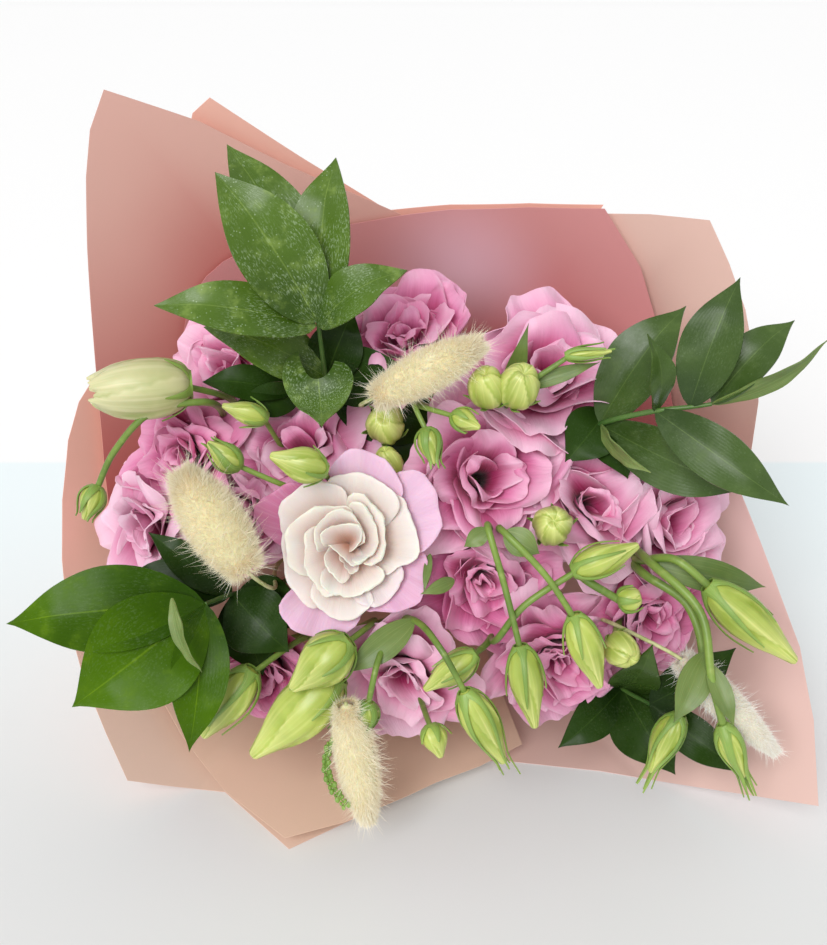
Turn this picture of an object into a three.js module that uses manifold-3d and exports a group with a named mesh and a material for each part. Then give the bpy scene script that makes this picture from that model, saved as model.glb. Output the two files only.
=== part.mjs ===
// A hand-tied bouquet of double lisianthus, wrapped in paper and lying on a table with its face
// towards the viewer. Sixteen blooms sit on six branching lisianthus stems that also carry closed
// buds and narrow leaves. Four sprays of broad-leaved ruscus and four bunny-tail grasses stand
// between them. Seven sheets of wrapping paper fan out round the flowers and are gathered, with
// all the stems, under one tie.
//
// Millimetres, +Z up, origin at the middle of the footprint on the table.

import * as THREE from "three";
import { mergeVertices } from "three/addons/utils/BufferGeometryUtils.js";
import Module from "manifold-3d";

const wasm = await Module();
wasm.setup();

// ---------------------------------------------------------------- driving dimensions

const AXIS_RISE = 30; // degrees that the bouquet's axis climbs towards the viewer
const FACE_HEIGHT = 154; // height of the middle of the bouquet's face above the table
const FACE_PLACE = [-6.6, -95.8]; // where the middle of the face stands over the footprint

const TIE_CENTRE = new THREE.Vector3(7, -12, -230); // across, up the face, out of the face
const TIE_WIDTH = 12;
const TIE_THICKNESS = 1.6;

const PAPER_THICKNESS = 0.8;
const PAPER_LAYERS = 4; // sheets that lie on each other where the wrap is thickest
const PAPER_SPREAD = 41; // degrees from the bouquet's axis to the paper
const NECK_RADIUS = 11.2; // the innermost sheet where it is tied round the stems
const NECK_PITCH = 1.35; // from one sheet to the next at the tie
const RIM_PITCH = 3; // from one sheet to the next away from the tie
const PARTING_LENGTH = 150; // in which the sheets go from one pitch to the other
const TAIL_LENGTH = 38; // paper under and beyond the tie
const TAIL_FLARE = 0.12;

const PETAL_THICKNESS = 0.8;
const LEAF_THICKNESS = 0.8;
const LEAF_FOLD = 0.22;
const NARROW_LEAF = 15; // narrower blades lie flat, wider ones are folded along the rib
const LEAF_ROOT = 0.4; // that the blade runs on into its stem
const CLEARANCE = 0.45; // between two pieces that press on each other
const TABLE_GAP = 0.1; // under the cut ends of the stems
const SMOOTHING = 0.08; // how far a point may be from the true shape where facets are joined
const NORMAL_STEP = 0.01; // between the points that a bent surface's normal is taken from

const BLOOM_RADIUS = 38; // of the bloom that the petal sizes below are given for
const HEART_HEIGHT = 33; // from that bloom's foot to the top of its innermost petals
const HEART_FLOOR = 20; // and to the bottom of the hollow that they stand round

// The photograph gives where each piece lies across the face, in its own pixels. A place is
// [pixels right, pixels down, millimetres out of the face].
const PICTURE_CENTRE = [413.5, 472.5];
const MM_PER_PIXEL = 0.44; // on the face, where a bloom that is 78 mm across spans 177 pixels
const VIEW_DISTANCE = 560; // from the viewer to the face

const DEGREE = Math.PI / 180;
const RISE_SINE = Math.sin(AXIS_RISE * DEGREE);
const RISE_COSINE = Math.cos(AXIS_RISE * DEGREE);

// ---------------------------------------------------------------- places

// From a place in the photograph to the bouquet's frame: x across, y up the face, z out of it.
function seenAt([right, down, out]) {
  const scale = (MM_PER_PIXEL * (VIEW_DISTANCE - out)) / VIEW_DISTANCE;
  return new THREE.Vector3(
    (right - PICTURE_CENTRE[0]) * scale,
    (PICTURE_CENTRE[1] - down) * scale,
    out,
  );
}

// Height above the table of a point in the bouquet's frame, and the point raised to a height.
const heightOf = (p) => FACE_HEIGHT + p.y * RISE_COSINE + p.z * RISE_SINE;
function raisedTo(p, height) {
  const lift = Math.max(0, height - heightOf(p));
  return new THREE.Vector3(p.x, p.y + lift * RISE_COSINE, p.z + lift * RISE_SINE);
}

const around = (radius, angle) =>
  new THREE.Vector3(radius * Math.cos(angle * DEGREE), radius * Math.sin(angle * DEGREE), 0);

const leaning = (lean, toward) =>
  around(Math.sin(lean * DEGREE), toward).setZ(Math.cos(lean * DEGREE));

// ---------------------------------------------------------------- solids

// A closed geometry as a solid with its faces pointing out.
function solid(geometry) {
  geometry.deleteAttribute("normal");
  geometry.deleteAttribute("uv");
  const merged = mergeVertices(geometry, 1e-4);
  const corners = new Uint32Array(merged.index.array);
  const build = () =>
    new wasm.Manifold(
      new wasm.Mesh({
        numProp: 3,
        vertProperties: merged.attributes.position.array,
        triVerts: corners,
      }),
    );
  const made = build();
  if (made.volume() > 0) return made;
  for (let i = 0; i < corners.length; i += 3)
    [corners[i + 1], corners[i + 2]] = [corners[i + 2], corners[i + 1]];
  return build();
}

const joined = (solids) => solids.reduce((all, one) => all.add(one));

// A thin closed solid on a bent surface. place(q, s) is its middle surface, for q from -1 to 1
// across it and s along it. Both faces are split into triangles alike.
function sheet(across, along, thickness, place, { spread = 1, from = 0, to = 1 } = {}) {
  const columns = across + 1;
  const front = [];
  const back = [];
  for (let row = 0; row <= along; row++)
    for (let column = 0; column < columns; column++) {
      const q = spread * ((2 * column) / across - 1);
      const s = from + ((to - from) * row) / along;
      const sideways = place(q + NORMAL_STEP, s).sub(place(q - NORMAL_STEP, s));
      const lengthways = place(q, s + NORMAL_STEP).sub(place(q, s - NORMAL_STEP));
      const half = sideways.cross(lengthways).setLength(thickness / 2);
      front.push(place(q, s).add(half));
      back.push(place(q, s).sub(half));
    }
  const at = (column, row) => row * columns + column;
  const behind = front.length;
  const triangles = [];
  for (let row = 0; row < along; row++)
    for (let column = 0; column < across; column++) {
      const [a, b] = [at(column, row), at(column + 1, row)];
      const [d, c] = [at(column, row + 1), at(column + 1, row + 1)];
      triangles.push(a, b, c);
      triangles.push(a, c, d);
      triangles.push(a + behind, c + behind, b + behind);
      triangles.push(a + behind, d + behind, c + behind);
    }
  const wall = (p, next) => {
    triangles.push(next, p, p + behind);
    triangles.push(next, p + behind, next + behind);
  };
  for (let column = 0; column < across; column++) {
    wall(at(column, 0), at(column + 1, 0));
    wall(at(column + 1, along), at(column, along));
  }
  for (let row = 0; row < along; row++) {
    wall(at(across, row), at(across, row + 1));
    wall(at(0, row + 1), at(0, row));
  }
  const geometry = new THREE.BufferGeometry().setFromPoints([...front, ...back]);
  geometry.setIndex(triangles);
  return solid(geometry);
}

// A smooth curve whose even steps meet the points that it is drawn through.
class ThroughPoints extends THREE.CatmullRomCurve3 {
  getUtoTmapping(share) {
    return share;
  }
}

// A round stem along a smooth curve through points, with so many steps from each to the next.
function stalk(points, radius, sides, steps) {
  const section = Array.from({ length: sides }, (_, i) => {
    const corner = around(radius, (360 * i) / sides);
    return new THREE.Vector2(corner.x, corner.y);
  });
  const path = new ThroughPoints(points, false, "centripetal");
  return solid(
    new THREE.ExtrudeGeometry(new THREE.Shape(section), {
      extrudePath: path,
      steps: steps * (points.length - 1),
      bevelEnabled: false,
    }),
  );
}

// A turned solid whose profile, [radius, height] pairs, stands on base and points along direction.
function turned(profile, sides, base, direction) {
  const outline = profile.map(([radius, height]) => new THREE.Vector2(radius, height));
  const geometry = new THREE.LatheGeometry(outline, sides);
  geometry.applyQuaternion(
    new THREE.Quaternion().setFromUnitVectors(new THREE.Vector3(0, 1, 0), direction),
  );
  return solid(geometry.translate(base.x, base.y, base.z));
}

// ---------------------------------------------------------------- petals and blooms

// Each whorl of petals, from the outside in. lean is a petal's angle from the bloom's axis, at its
// foot and at its lip. step is how far each petal's one edge stands outside the next petal's.
// up and down are how far along the petal the rows of points lie on its outer and inner face.
const WHORLS = [
  { length: 44, lean: [26, 94], step: 5, up: [0.1, 0.58, 1], down: [1, 0.6, 0.22] },
  { length: 41, lean: [16, 62], step: 4.4, up: [0.26, 1], down: [1, 0.34] },
  { length: 35, lean: [6, 22], step: 2.6, up: [0.42, 1], down: [1] },
];
const AXIS = new THREE.Vector3(0, 0, 1);
const PETALS = 5; // in a whorl
const PETAL_FOOT_RADIUS = 2.5;
const PETAL_SPAN = 0.72; // of the petal's share of the ring; the rest is the step to the next
const LIP_ROUNDING = 0.15; // how far the corners of a petal's lip draw back
const ACROSS_PETAL = [-1, 0, 1]; // the points across each petal, from its outer edge
const LAPPED_FROM = 12; // the radius from which a petal's edges stand a whole step apart

// A point in the middle of a petal's thickness, and one on its outer (1) or inner (-1) face.
function onPetal(whorl, turn, q, s) {
  const [foot, lip] = whorl.lean.map((angle) => angle * DEGREE);
  const reach = whorl.length / (lip - foot);
  const lean = foot + (lip - foot) * s * (1 - LIP_ROUNDING * q * q);
  const radius = PETAL_FOOT_RADIUS + reach * (Math.cos(foot) - Math.cos(lean));
  const lapped = radius - (whorl.step / 2) * Math.min(1, radius / LAPPED_FROM) * q;
  const point = around(lapped, turn + (360 / PETALS) * (PETAL_SPAN / 2) * q);
  return point.setZ(reach * (Math.sin(lean) - Math.sin(foot)));
}
function onPetalFace(whorl, turn, q, s, face, thickness) {
  const [right, left] = [q + NORMAL_STEP, q - NORMAL_STEP];
  const [above, below] = [s + NORMAL_STEP, s - NORMAL_STEP];
  const sideways = onPetal(whorl, turn, right, s).sub(onPetal(whorl, turn, left, s));
  const lengthways = onPetal(whorl, turn, q, above).sub(onPetal(whorl, turn, q, below));
  const normal = sideways.cross(lengthways).setLength((face * thickness) / 2);
  return onPetal(whorl, turn, q, s).add(normal);
}

// A bloom about its own axis, with its foot at the origin. Its petals have grown together at the
// foot, so its skin runs up the outside of each whorl, over the lips and down between them.
// grow makes it fatter all over, with its hollows filled.
function bloomShape({ radius, roll, whorls }, grow) {
  const size = radius / BLOOM_RADIUS;
  const fatter = grow / size;
  const thickness = PETAL_THICKNESS / size + 2 * fatter;
  const rows = WHORLS.slice(0, whorls).flatMap((whorl, ring) => {
    const turn = roll + ring * (180 / PETALS);
    const up = grow > 0 && ring > 0 ? [1] : whorl.up;
    const down = grow > 0 || ring === whorls - 1 ? [1] : whorl.down;
    return [
      ...up.map((s) => ({ whorl, turn, s, face: 1 })),
      ...down.map((s) => ({ whorl, turn, s, face: -1 })),
    ];
  });
  const columns = PETALS * ACROSS_PETAL.length;
  const points = [new THREE.Vector3(0, 0, -1 - fatter)];
  for (const { whorl, turn, s, face } of rows)
    for (let petal = 0; petal < PETALS; petal++)
      for (const q of ACROSS_PETAL) {
        const angle = turn + (360 * petal) / PETALS;
        const reach = s === 1 ? 1 + fatter / whorl.length : s;
        const point = onPetalFace(whorl, angle, q, reach, face, thickness);
        points.push(point.applyAxisAngle(AXIS, -fatter / Math.hypot(point.x, point.y)));
      }
  points.push(new THREE.Vector3(0, 0, grow > 0 ? HEART_HEIGHT : HEART_FLOOR));
  const at = (row, column) => 1 + row * columns + (column % columns);
  const triangles = [];
  for (let column = 0; column < columns; column++) {
    triangles.push(0, at(0, column + 1), at(0, column));
    for (let row = 0; row < rows.length - 1; row++) {
      const [a, b] = [at(row, column), at(row, column + 1)];
      const [d, c] = [at(row + 1, column), at(row + 1, column + 1)];
      triangles.push(a, b, c, a, c, d);
    }
    triangles.push(at(rows.length - 1, column), at(rows.length - 1, column + 1), points.length - 1);
  }
  const geometry = new THREE.BufferGeometry().setFromPoints(points);
  geometry.setIndex(triangles);
  return solid(geometry.scale(size, size, size));
}

function bloomFrame(bloom) {
  const axis = leaning(bloom.lean, bloom.toward);
  const size = bloom.radius / BLOOM_RADIUS;
  const foot = seenAt(bloom.seen).addScaledVector(axis, -HEART_HEIGHT * size);
  return { axis, foot };
}

function bloomSolid(bloom, grow) {
  const { axis, foot } = bloomFrame(bloom);
  const turn = new THREE.Quaternion().setFromUnitVectors(AXIS, axis);
  const placed = new THREE.Matrix4().compose(foot, turn, new THREE.Vector3(1, 1, 1));
  return bloomShape(bloom, grow).transform(placed.elements);
}

// seen is the middle of the bloom's face, and lean and toward the way that it looks: degrees out
// of the straight view, and the side, from 0 at the right over 90 at the top.
const BLOOMS = {
  bloom_cream: {
    stem: "a", seen: [352, 541, 34], radius: 38, lean: 4, toward: 270, roll: 20, whorls: 3,
  },
  bloom_centre: {
    stem: "b", seen: [490, 474, 16], radius: 36, lean: 12, toward: 30, roll: 75, whorls: 3,
  },
  bloom_top_right: {
    stem: "b", seen: [556, 362, 2], radius: 37, lean: 28, toward: 55, roll: 10, whorls: 3,
  },
  bloom_top: {
    stem: "b", seen: [405, 326, -4], radius: 34, lean: 28, toward: 95, roll: 40, whorls: 3,
  },
  bloom_top_left: {
    stem: "c", seen: [222, 362, -24], radius: 29, lean: 32, toward: 135, roll: 0, whorls: 2,
  },
  bloom_upper_left: {
    stem: "a", seen: [300, 438, 0], radius: 33, lean: 24, toward: 110, roll: 55, whorls: 3,
  },
  bloom_left: {
    stem: "c", seen: [170, 452, -8], radius: 30, lean: 28, toward: 160, roll: 25, whorls: 2,
  },
  bloom_far_left: {
    stem: "c", seen: [132, 528, -19], radius: 30, lean: 40, toward: 190, roll: 30, whorls: 2,
  },
  bloom_inner_left: {
    stem: "c", seen: [236, 512, -6], radius: 28, lean: 18, toward: 190, roll: 15, whorls: 2,
  },
  bloom_right: {
    stem: "d", seen: [604, 504, 2], radius: 33, lean: 20, toward: 10, roll: 50, whorls: 3,
  },
  bloom_far_right: {
    stem: "d", seen: [684, 518, -16], radius: 31, lean: 32, toward: 5, roll: 30, whorls: 2,
  },
  bloom_ruffled: {
    stem: "e", seen: [482, 588, 6], radius: 32, lean: 12, toward: 280, roll: 65, whorls: 3,
  },
  bloom_low_right: {
    stem: "d", seen: [664, 622, -14], radius: 29, lean: 28, toward: 320, roll: 5, whorls: 2,
  },
  bloom_low_centre: {
    stem: "e", seen: [563, 669, -3], radius: 32, lean: 24, toward: 300, roll: 35, whorls: 2,
  },
  bloom_bottom: {
    stem: "f", seen: [402, 690, 2], radius: 31, lean: 24, toward: 268, roll: 45, whorls: 3,
  },
  bloom_low_left: {
    stem: "f", seen: [258, 686, -18], radius: 28, lean: 32, toward: 235, roll: 70, whorls: 2,
  },
};

// ---------------------------------------------------------------- stems, buds and narrow leaves

// Where each stem passes the tie, as its ring and angle in the bundle, and where it branches.
const STEMS = {
  a: { bundle: [3.8, 175], radius: 2.4, fork: [352, 492, -92] },
  b: { bundle: [3.8, 60], radius: 2.4, fork: [470, 412, -88] },
  c: { bundle: [7.9, 155], radius: 2.4, fork: [222, 448, -96] },
  d: { bundle: [7.9, 348], radius: 2.4, fork: [622, 540, -88] },
  e: { bundle: [3.8, 300], radius: 2.4, fork: [500, 590, -88] },
  f: { bundle: [7.9, 240], radius: 2.4, fork: [340, 640, -84] },
};
const STEM_SIDES = 5;
const BRANCH_RADIUS = 1.3;
const BRANCH_SIDES = 4;
const BRANCH_RUN = 16; // that a branch runs straight under its bloom
const BRANCH_END = 1.2; // from its end to the bloom's skin, less the clearance
const FORK_SHARE = 0.02; // of the way down the stem from its fork, where the branches start
const CUP_SIDES = 6;
const CUP = { depth: 9, foot: 1.4, rim: 4, drop: 1.5, floor: 1.4 }; // the sepals under a bloom
const PEDICEL_RADIUS = 0.8;
const THIN_SIDES = 3; // of the bud stalks, twigs and straws
const BUD_SIDES = 5;
const BUD_SHOULDERS = [[1, 0.35], [0.55, 0.8]]; // shares of a bud's radius and of its length
const BUD_SEAT = 0.12; // of a bud's length that its stalk runs into it
const LEAF_ROWS = 3;
const BLADE = { from: 0.03, span: 0.92, peak: 0.85, fullness: 0.8 }; // how its width runs along it
const TIE_REACH = 0.7; // of the tie's width that a stem stays straight to each side of its middle
const BUNDLE_SPLAY = 1.5; // how much wider the ring of stems is at the cut ends
const CUT_END = new THREE.Vector3(0, 28, -80); // from the tie to the middle of the cut ends

// The lower part of a stem: from its cut end, lying on the table, through the tie.
function throughTie([ring, angle], radius) {
  const slot = around(ring, angle);
  const end = TIE_CENTRE.clone().add(CUT_END).addScaledVector(slot, BUNDLE_SPLAY);
  const neck = TIE_CENTRE.clone().add(slot);
  return [
    raisedTo(end, radius + TABLE_GAP),
    neck.clone().setZ(TIE_CENTRE.z - TIE_REACH * TIE_WIDTH),
    neck.clone().setZ(TIE_CENTRE.z + TIE_REACH * TIE_WIDTH),
  ];
}

// Closed buds: foot and tip in the photograph, the bud's radius, and the places that its stalk
// passes on the way from the fork.
const BUDS = [
  { stem: "a", foot: [268, 419, 8], tip: [222, 405, 12], radius: 5.5, way: [[300, 470, -30]] },
  { stem: "a", foot: [327, 471, 40], tip: [270, 455, 46], radius: 8, way: [[332, 482, 10]] },
  { stem: "a", foot: [240, 468, 24], tip: [208, 442, 30], radius: 6, way: [[292, 488, 16]] },
  { stem: "a", foot: [387, 430, 2], tip: [384, 418, 22], radius: 9, way: [[380, 450, -40]] },
  { stem: "b", foot: [490, 402, 28], tip: [484, 372, 42], radius: 8.5, way: [[500, 410, 0]] },
  { stem: "b", foot: [513, 400, 28], tip: [525, 371, 44], radius: 9.5, way: [[504, 408, 8]] },
  {
    stem: "b", foot: [426, 428, 40], tip: [434, 464, 42], radius: 5.5,
    way: [[428, 408, 0], [414, 404, 36]],
  },
  { stem: "b", foot: [452, 415, 40], tip: [480, 428, 44], radius: 5, way: [[420, 406, 30]] },
  { stem: "b", foot: [565, 356, 40], tip: [612, 351, 42], radius: 3, way: [[520, 388, 30]] },
  { stem: "c", foot: [192, 384, 16], tip: [92, 391, 24], radius: 13, way: [[232, 400, -10]] },
  {
    stem: "c", foot: [98, 486, 10], tip: [84, 520, 12], radius: 6,
    way: [[205, 402, 16], [152, 412, 22], [114, 452, 16]],
  },
  { stem: "d", foot: [551, 530, 14], tip: [554, 520, 34], radius: 9, way: [[570, 535, -40]] },
  {
    stem: "d", foot: [618, 602, 22], tip: [641, 596, 24], radius: 5.5,
    way: [[600, 556, 0], [580, 574, 22]],
  },
  {
    stem: "d", foot: [707, 585, 22], tip: [796, 662, 18], radius: 12,
    way: [[640, 560, 0], [676, 560, 20]],
  },
  {
    stem: "d", foot: [680, 714, 14], tip: [650, 772, 6], radius: 7.5,
    way: [[644, 574, 6], [688, 606, 14], [702, 668, 16]],
  },
  {
    stem: "d", foot: [722, 727, 20], tip: [744, 776, 12], radius: 6.5,
    way: [[650, 562, 12], [700, 612, 24], [712, 680, 24]],
  },
  { stem: "d", foot: [612, 640, 12], tip: [632, 660, 24], radius: 8, way: [[622, 596, -40]] },
  {
    stem: "e", foot: [572, 572, 26], tip: [639, 545, 28], radius: 7.5,
    way: [[496, 640, 14], [524, 606, 26]],
  },
  { stem: "e", foot: [476, 653, 20], tip: [424, 690, 18], radius: 7, way: [[488, 642, 4]] },
  {
    stem: "e", foot: [520, 645, 26], tip: [535, 728, 20], radius: 8,
    way: [[492, 536, 0], [488, 528, 28], [504, 584, 28]],
  },
  {
    stem: "e", foot: [574, 614, 30], tip: [600, 688, 24], radius: 8,
    way: [[500, 534, 0], [504, 532, 30], [546, 576, 32]],
  },
  { stem: "f", foot: [350, 640, 28], tip: [291, 689, 26], radius: 11.5, way: [[374, 622, 4]] },
  { stem: "f", foot: [340, 676, 14], tip: [252, 756, 8], radius: 13, way: [[352, 652, -10]] },
  { stem: "f", foot: [253, 669, 10], tip: [203, 737, 4], radius: 10, way: [[300, 640, -10]] },
  {
    stem: "f", foot: [464, 691, 34], tip: [504, 763, 22], radius: 8,
    way: [[414, 620, 14], [440, 648, 37]],
  },
  {
    stem: "f", foot: [369, 702, 24], tip: [360, 734, 20], radius: 6,
    way: [[384, 640, 10], [376, 668, 26]],
  },
  { stem: "f", foot: [430, 724, 16], tip: [441, 758, 18], radius: 6, way: [[400, 660, -40]] },
];

// The lisianthus stems' own leaves: foot, tip, full width, and how far the blade arches.
const STEM_LEAVES = [
  { stem: "b", foot: [504, 408, 8], tip: [528, 327, 38], width: 8, arch: 2 },
  { stem: "b", foot: [520, 388, 30], tip: [600, 362, 36], width: 6, arch: 2 },
  { stem: "d", foot: [650, 562, 12], tip: [769, 588, 6], width: 13, arch: 5 },
  { stem: "d", foot: [702, 668, 16], tip: [678, 722, 26], width: 14, arch: 2 },
  { stem: "d", foot: [712, 680, 24], tip: [733, 722, 30], width: 8, arch: 2 },
  { stem: "e", foot: [504, 532, 30], tip: [540, 554, 30], width: 11, arch: 2 },
  { stem: "e", foot: [488, 529, 28], tip: [464, 547, 28], width: 7, arch: 1 },
  { stem: "f", foot: [414, 620, 14], tip: [344, 674, 20], width: 12, arch: 4 },
];

// A leaf blade from foot to tip, folded a little along its rib and arched.
// facing turns the blade about its own length.
function leafSolid(leaf, grow) {
  const foot = seenAt(leaf.foot);
  const tip = seenAt(leaf.tip);
  const length = foot.distanceTo(tip);
  const forward = tip.clone().sub(foot).normalize();
  const sideways = new THREE.Vector3(0, 0, 1).cross(forward).normalize();
  sideways.applyAxisAngle(forward, (leaf.facing || 0) * DEGREE);
  const outward = forward.clone().cross(sideways);
  const place = (q, s) => {
    const share = BLADE.from + BLADE.span * THREE.MathUtils.clamp(s, 0, 1) ** BLADE.peak;
    const halfWidth = (leaf.width / 2) * Math.sin(Math.PI * share) ** BLADE.fullness;
    const fold = LEAF_FOLD * halfWidth * Math.abs(q);
    return foot
      .clone()
      .addScaledVector(forward, length * s)
      .addScaledVector(sideways, halfWidth * q)
      .addScaledVector(outward, fold + leaf.arch * Math.sin(Math.PI * s));
  };
  const across = leaf.width < NARROW_LEAF ? 1 : 2;
  return sheet(across, LEAF_ROWS, LEAF_THICKNESS + 2 * grow, place, {
    spread: 1 + (2 * grow) / leaf.width,
    from: -(LEAF_ROOT + grow) / length,
    to: 1 + grow / length,
  });
}

function budSolid(bud, grow) {
  const foot = seenAt(bud.foot);
  const tip = seenAt(bud.tip);
  const length = foot.distanceTo(tip);
  const profile = [
    [0, -grow],
    ...BUD_SHOULDERS.map(([wide, far]) => [wide * bud.radius + grow, far * length]),
    [0, length + grow],
  ];
  return turned(profile, BUD_SIDES, foot, tip.sub(foot).normalize());
}

// A whole lisianthus stem with its branches, the cups that hold its blooms, buds and leaves.
function lisianthusStem(name, grow) {
  const { bundle, radius, fork } = STEMS[name];
  const lower = throughTie(bundle, radius);
  const node = seenAt(fork);
  const pieces = [stalk([...lower, node], radius + grow, STEM_SIDES, 2)];
  const start = node.clone().lerp(lower[2], FORK_SHARE);
  for (const bloom of Object.values(BLOOMS).filter((b) => b.stem === name)) {
    const { axis, foot } = bloomFrame(bloom);
    const below = foot.clone().addScaledVector(axis, -BRANCH_RUN);
    const under = foot.clone().addScaledVector(axis, -CLEARANCE - BRANCH_END);
    pieces.push(stalk([start, below, under], BRANCH_RADIUS + grow, BRANCH_SIDES, 2));
    const cup = [
      [0, -CUP.depth - grow],
      [CUP.foot + grow, -CUP.depth],
      [CUP.rim + grow, -CUP.drop],
      [0, -CUP.floor + grow],
    ];
    pieces.push(turned(cup, CUP_SIDES, foot, axis));
  }
  for (const bud of BUDS.filter((b) => b.stem === name)) {
    const foot = seenAt(bud.foot);
    const inside = foot.clone().lerp(seenAt(bud.tip), BUD_SEAT);
    const way = bud.way.map(seenAt);
    pieces.push(stalk([start, ...way, inside], PEDICEL_RADIUS + grow, THIN_SIDES, 1));
    pieces.push(budSolid(bud, grow));
  }
  for (const leaf of STEM_LEAVES.filter((l) => l.stem === name)) pieces.push(leafSolid(leaf, grow));
  return joined(pieces);
}

// ---------------------------------------------------------------- ruscus and bunny tails

// Each spray: its place in the bundle, the places that its twig passes, and its leaves.
const RUSCUS = {
  ruscus_top_left: {
    bundle: [7.9, 126],
    twig: [[336, 420, -70], [326, 378, -4], [318, 322, 26]],
    leaves: [
      { foot: [318, 322, 26], tip: [218, 172, 48], width: 31, arch: 7, facing: 12 },
      { foot: [320, 320, 22], tip: [229, 143, 24], width: 26, arch: 5, facing: 20 },
      { foot: [321, 322, 24], tip: [332, 158, 30], width: 25, arch: 5, facing: -20 },
      { foot: [319, 326, 26], tip: [404, 264, 42], width: 17, arch: 6, facing: -25 },
      { foot: [316, 326, 26], tip: [155, 302, 44], width: 21, arch: 6, facing: 15 },
      { foot: [326, 378, -4], tip: [206, 324, 14], width: 24, arch: 6, facing: 25 },
      { foot: [326, 378, -4], tip: [322, 428, 34], width: 26, arch: -6, facing: 0 },
    ],
  },
  ruscus_right: {
    bundle: [7.9, 20],
    twig: [[584, 452, -70], [600, 424, 0], [655, 411, 18], [690, 407, 23], [712, 404, 26]],
    leaves: [
      { foot: [600, 424, 0], tip: [684, 304, 10], width: 26, arch: 5, facing: -25 },
      { foot: [655, 411, 18], tip: [651, 335, 34], width: 12, arch: 5, facing: 30 },
      { foot: [690, 407, 23], tip: [739, 277, 36], width: 23, arch: 5, facing: -20 },
      { foot: [712, 404, 26], tip: [794, 318, 30], width: 18, arch: 5, facing: -25 },
      { foot: [712, 404, 26], tip: [830, 345, 44], width: 10, arch: 4, facing: 50 },
      { foot: [655, 411, 18], tip: [789, 506, 34], width: 23, arch: 6, facing: 10 },
      { foot: [600, 424, 0], tip: [754, 493, 14], width: 24, arch: 6, facing: 25 },
      { foot: [600, 424, 0], tip: [646, 474, 26], width: 7, arch: 3, facing: 60 },
    ],
  },
  ruscus_left: {
    bundle: [7.9, 208],
    twig: [[268, 590, -70], [232, 594, -4], [205, 604, 22]],
    leaves: [
      { foot: [205, 604, 22], tip: [4, 622, 34], width: 33, arch: 6, facing: 15 },
      { foot: [205, 604, 22], tip: [72, 708, 40], width: 42, arch: 5, facing: -5 },
      { foot: [205, 604, 22], tip: [190, 753, 30], width: 22, arch: 5, facing: -15 },
      { foot: [232, 594, -4], tip: [118, 580, -6], width: 22, arch: 4, facing: 20 },
      { foot: [232, 594, -4], tip: [288, 652, 4], width: 28, arch: 3, facing: 0 },
      { foot: [232, 594, -4], tip: [148, 532, 4], width: 15, arch: 3, facing: 10 },
    ],
  },
  ruscus_low_right: {
    bundle: [7.9, 296],
    twig: [[590, 648, -74], [622, 688, -30], [650, 704, -12]],
    leaves: [
      { foot: [622, 688, -30], tip: [650, 650, 16], width: 20, arch: 4, facing: 0 },
      { foot: [650, 704, -12], tip: [736, 650, 2], width: 20, arch: 4, facing: 0 },
      { foot: [622, 688, -30], tip: [674, 774, -8], width: 28, arch: 4, facing: 10 },
      { foot: [650, 704, -12], tip: [744, 774, 0], width: 16, arch: 4, facing: 0 },
      { foot: [622, 688, -30], tip: [560, 748, -16], width: 18, arch: 3, facing: 0 },
    ],
  },
};
const TWIG_RADIUS = 1.9;

function ruscusSpray({ bundle, twig, leaves }, grow) {
  const path = [...throughTie(bundle, TWIG_RADIUS), ...twig.map(seenAt)];
  const pieces = [stalk(path, TWIG_RADIUS + grow, THIN_SIDES, 1)];
  for (const leaf of leaves) pieces.push(leafSolid(leaf, grow));
  return joined(pieces);
}

// Bunny tails: foot and tip of the soft head, its radius, and the places its straw passes.
const BUNNY_TAILS = {
  bunny_tail_top: {
    bundle: [4.1, 113], foot: [374, 398, 38], tip: [482, 343, 50], radius: 9.5,
    way: [[372, 410, -40], [362, 404, 26]],
  },
  bunny_tail_left: {
    bundle: [7.9, 186], foot: [248, 572, 40], tip: [180, 472, 48], radius: 13.5,
    way: [[282, 560, -50], [272, 588, 20]],
  },
  bunny_tail_bottom: {
    bundle: [7.9, 268], foot: [346, 704, 28], tip: [368, 820, 6], radius: 9.5,
    way: [[390, 650, -70], [352, 714, 6]],
  },
  bunny_tail_right: {
    bundle: [7.9, 322], foot: [681, 659, 24], tip: [770, 750, 30], radius: 10,
    way: [[560, 600, -80], [622, 628, 4]],
  },
};
const STRAW_RADIUS = 1.3;
const HEAD_SIDES = 7;
const HEAD_RINGS = [0.03, 0.3, 0.7, 0.97]; // shares of a head's length where its points lie
const SWELL = { from: 0.12, span: 0.82, fullness: 0.7 }; // how a head's width runs along it
const STRAW_SEAT = 0.1; // of a head's length that its straw runs into it
const BRISTLES = 12; // on each head, spread evenly by the golden angle
const GOLDEN_ANGLE = 137.5;
const BRISTLE_PLACES = { from: 0.08, span: 0.86 }; // shares of a head's length
const BRISTLE = { root: 2.5, length: 4.5, radius: 0.9, barb: 0.4, lean: 0.8 };

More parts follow.
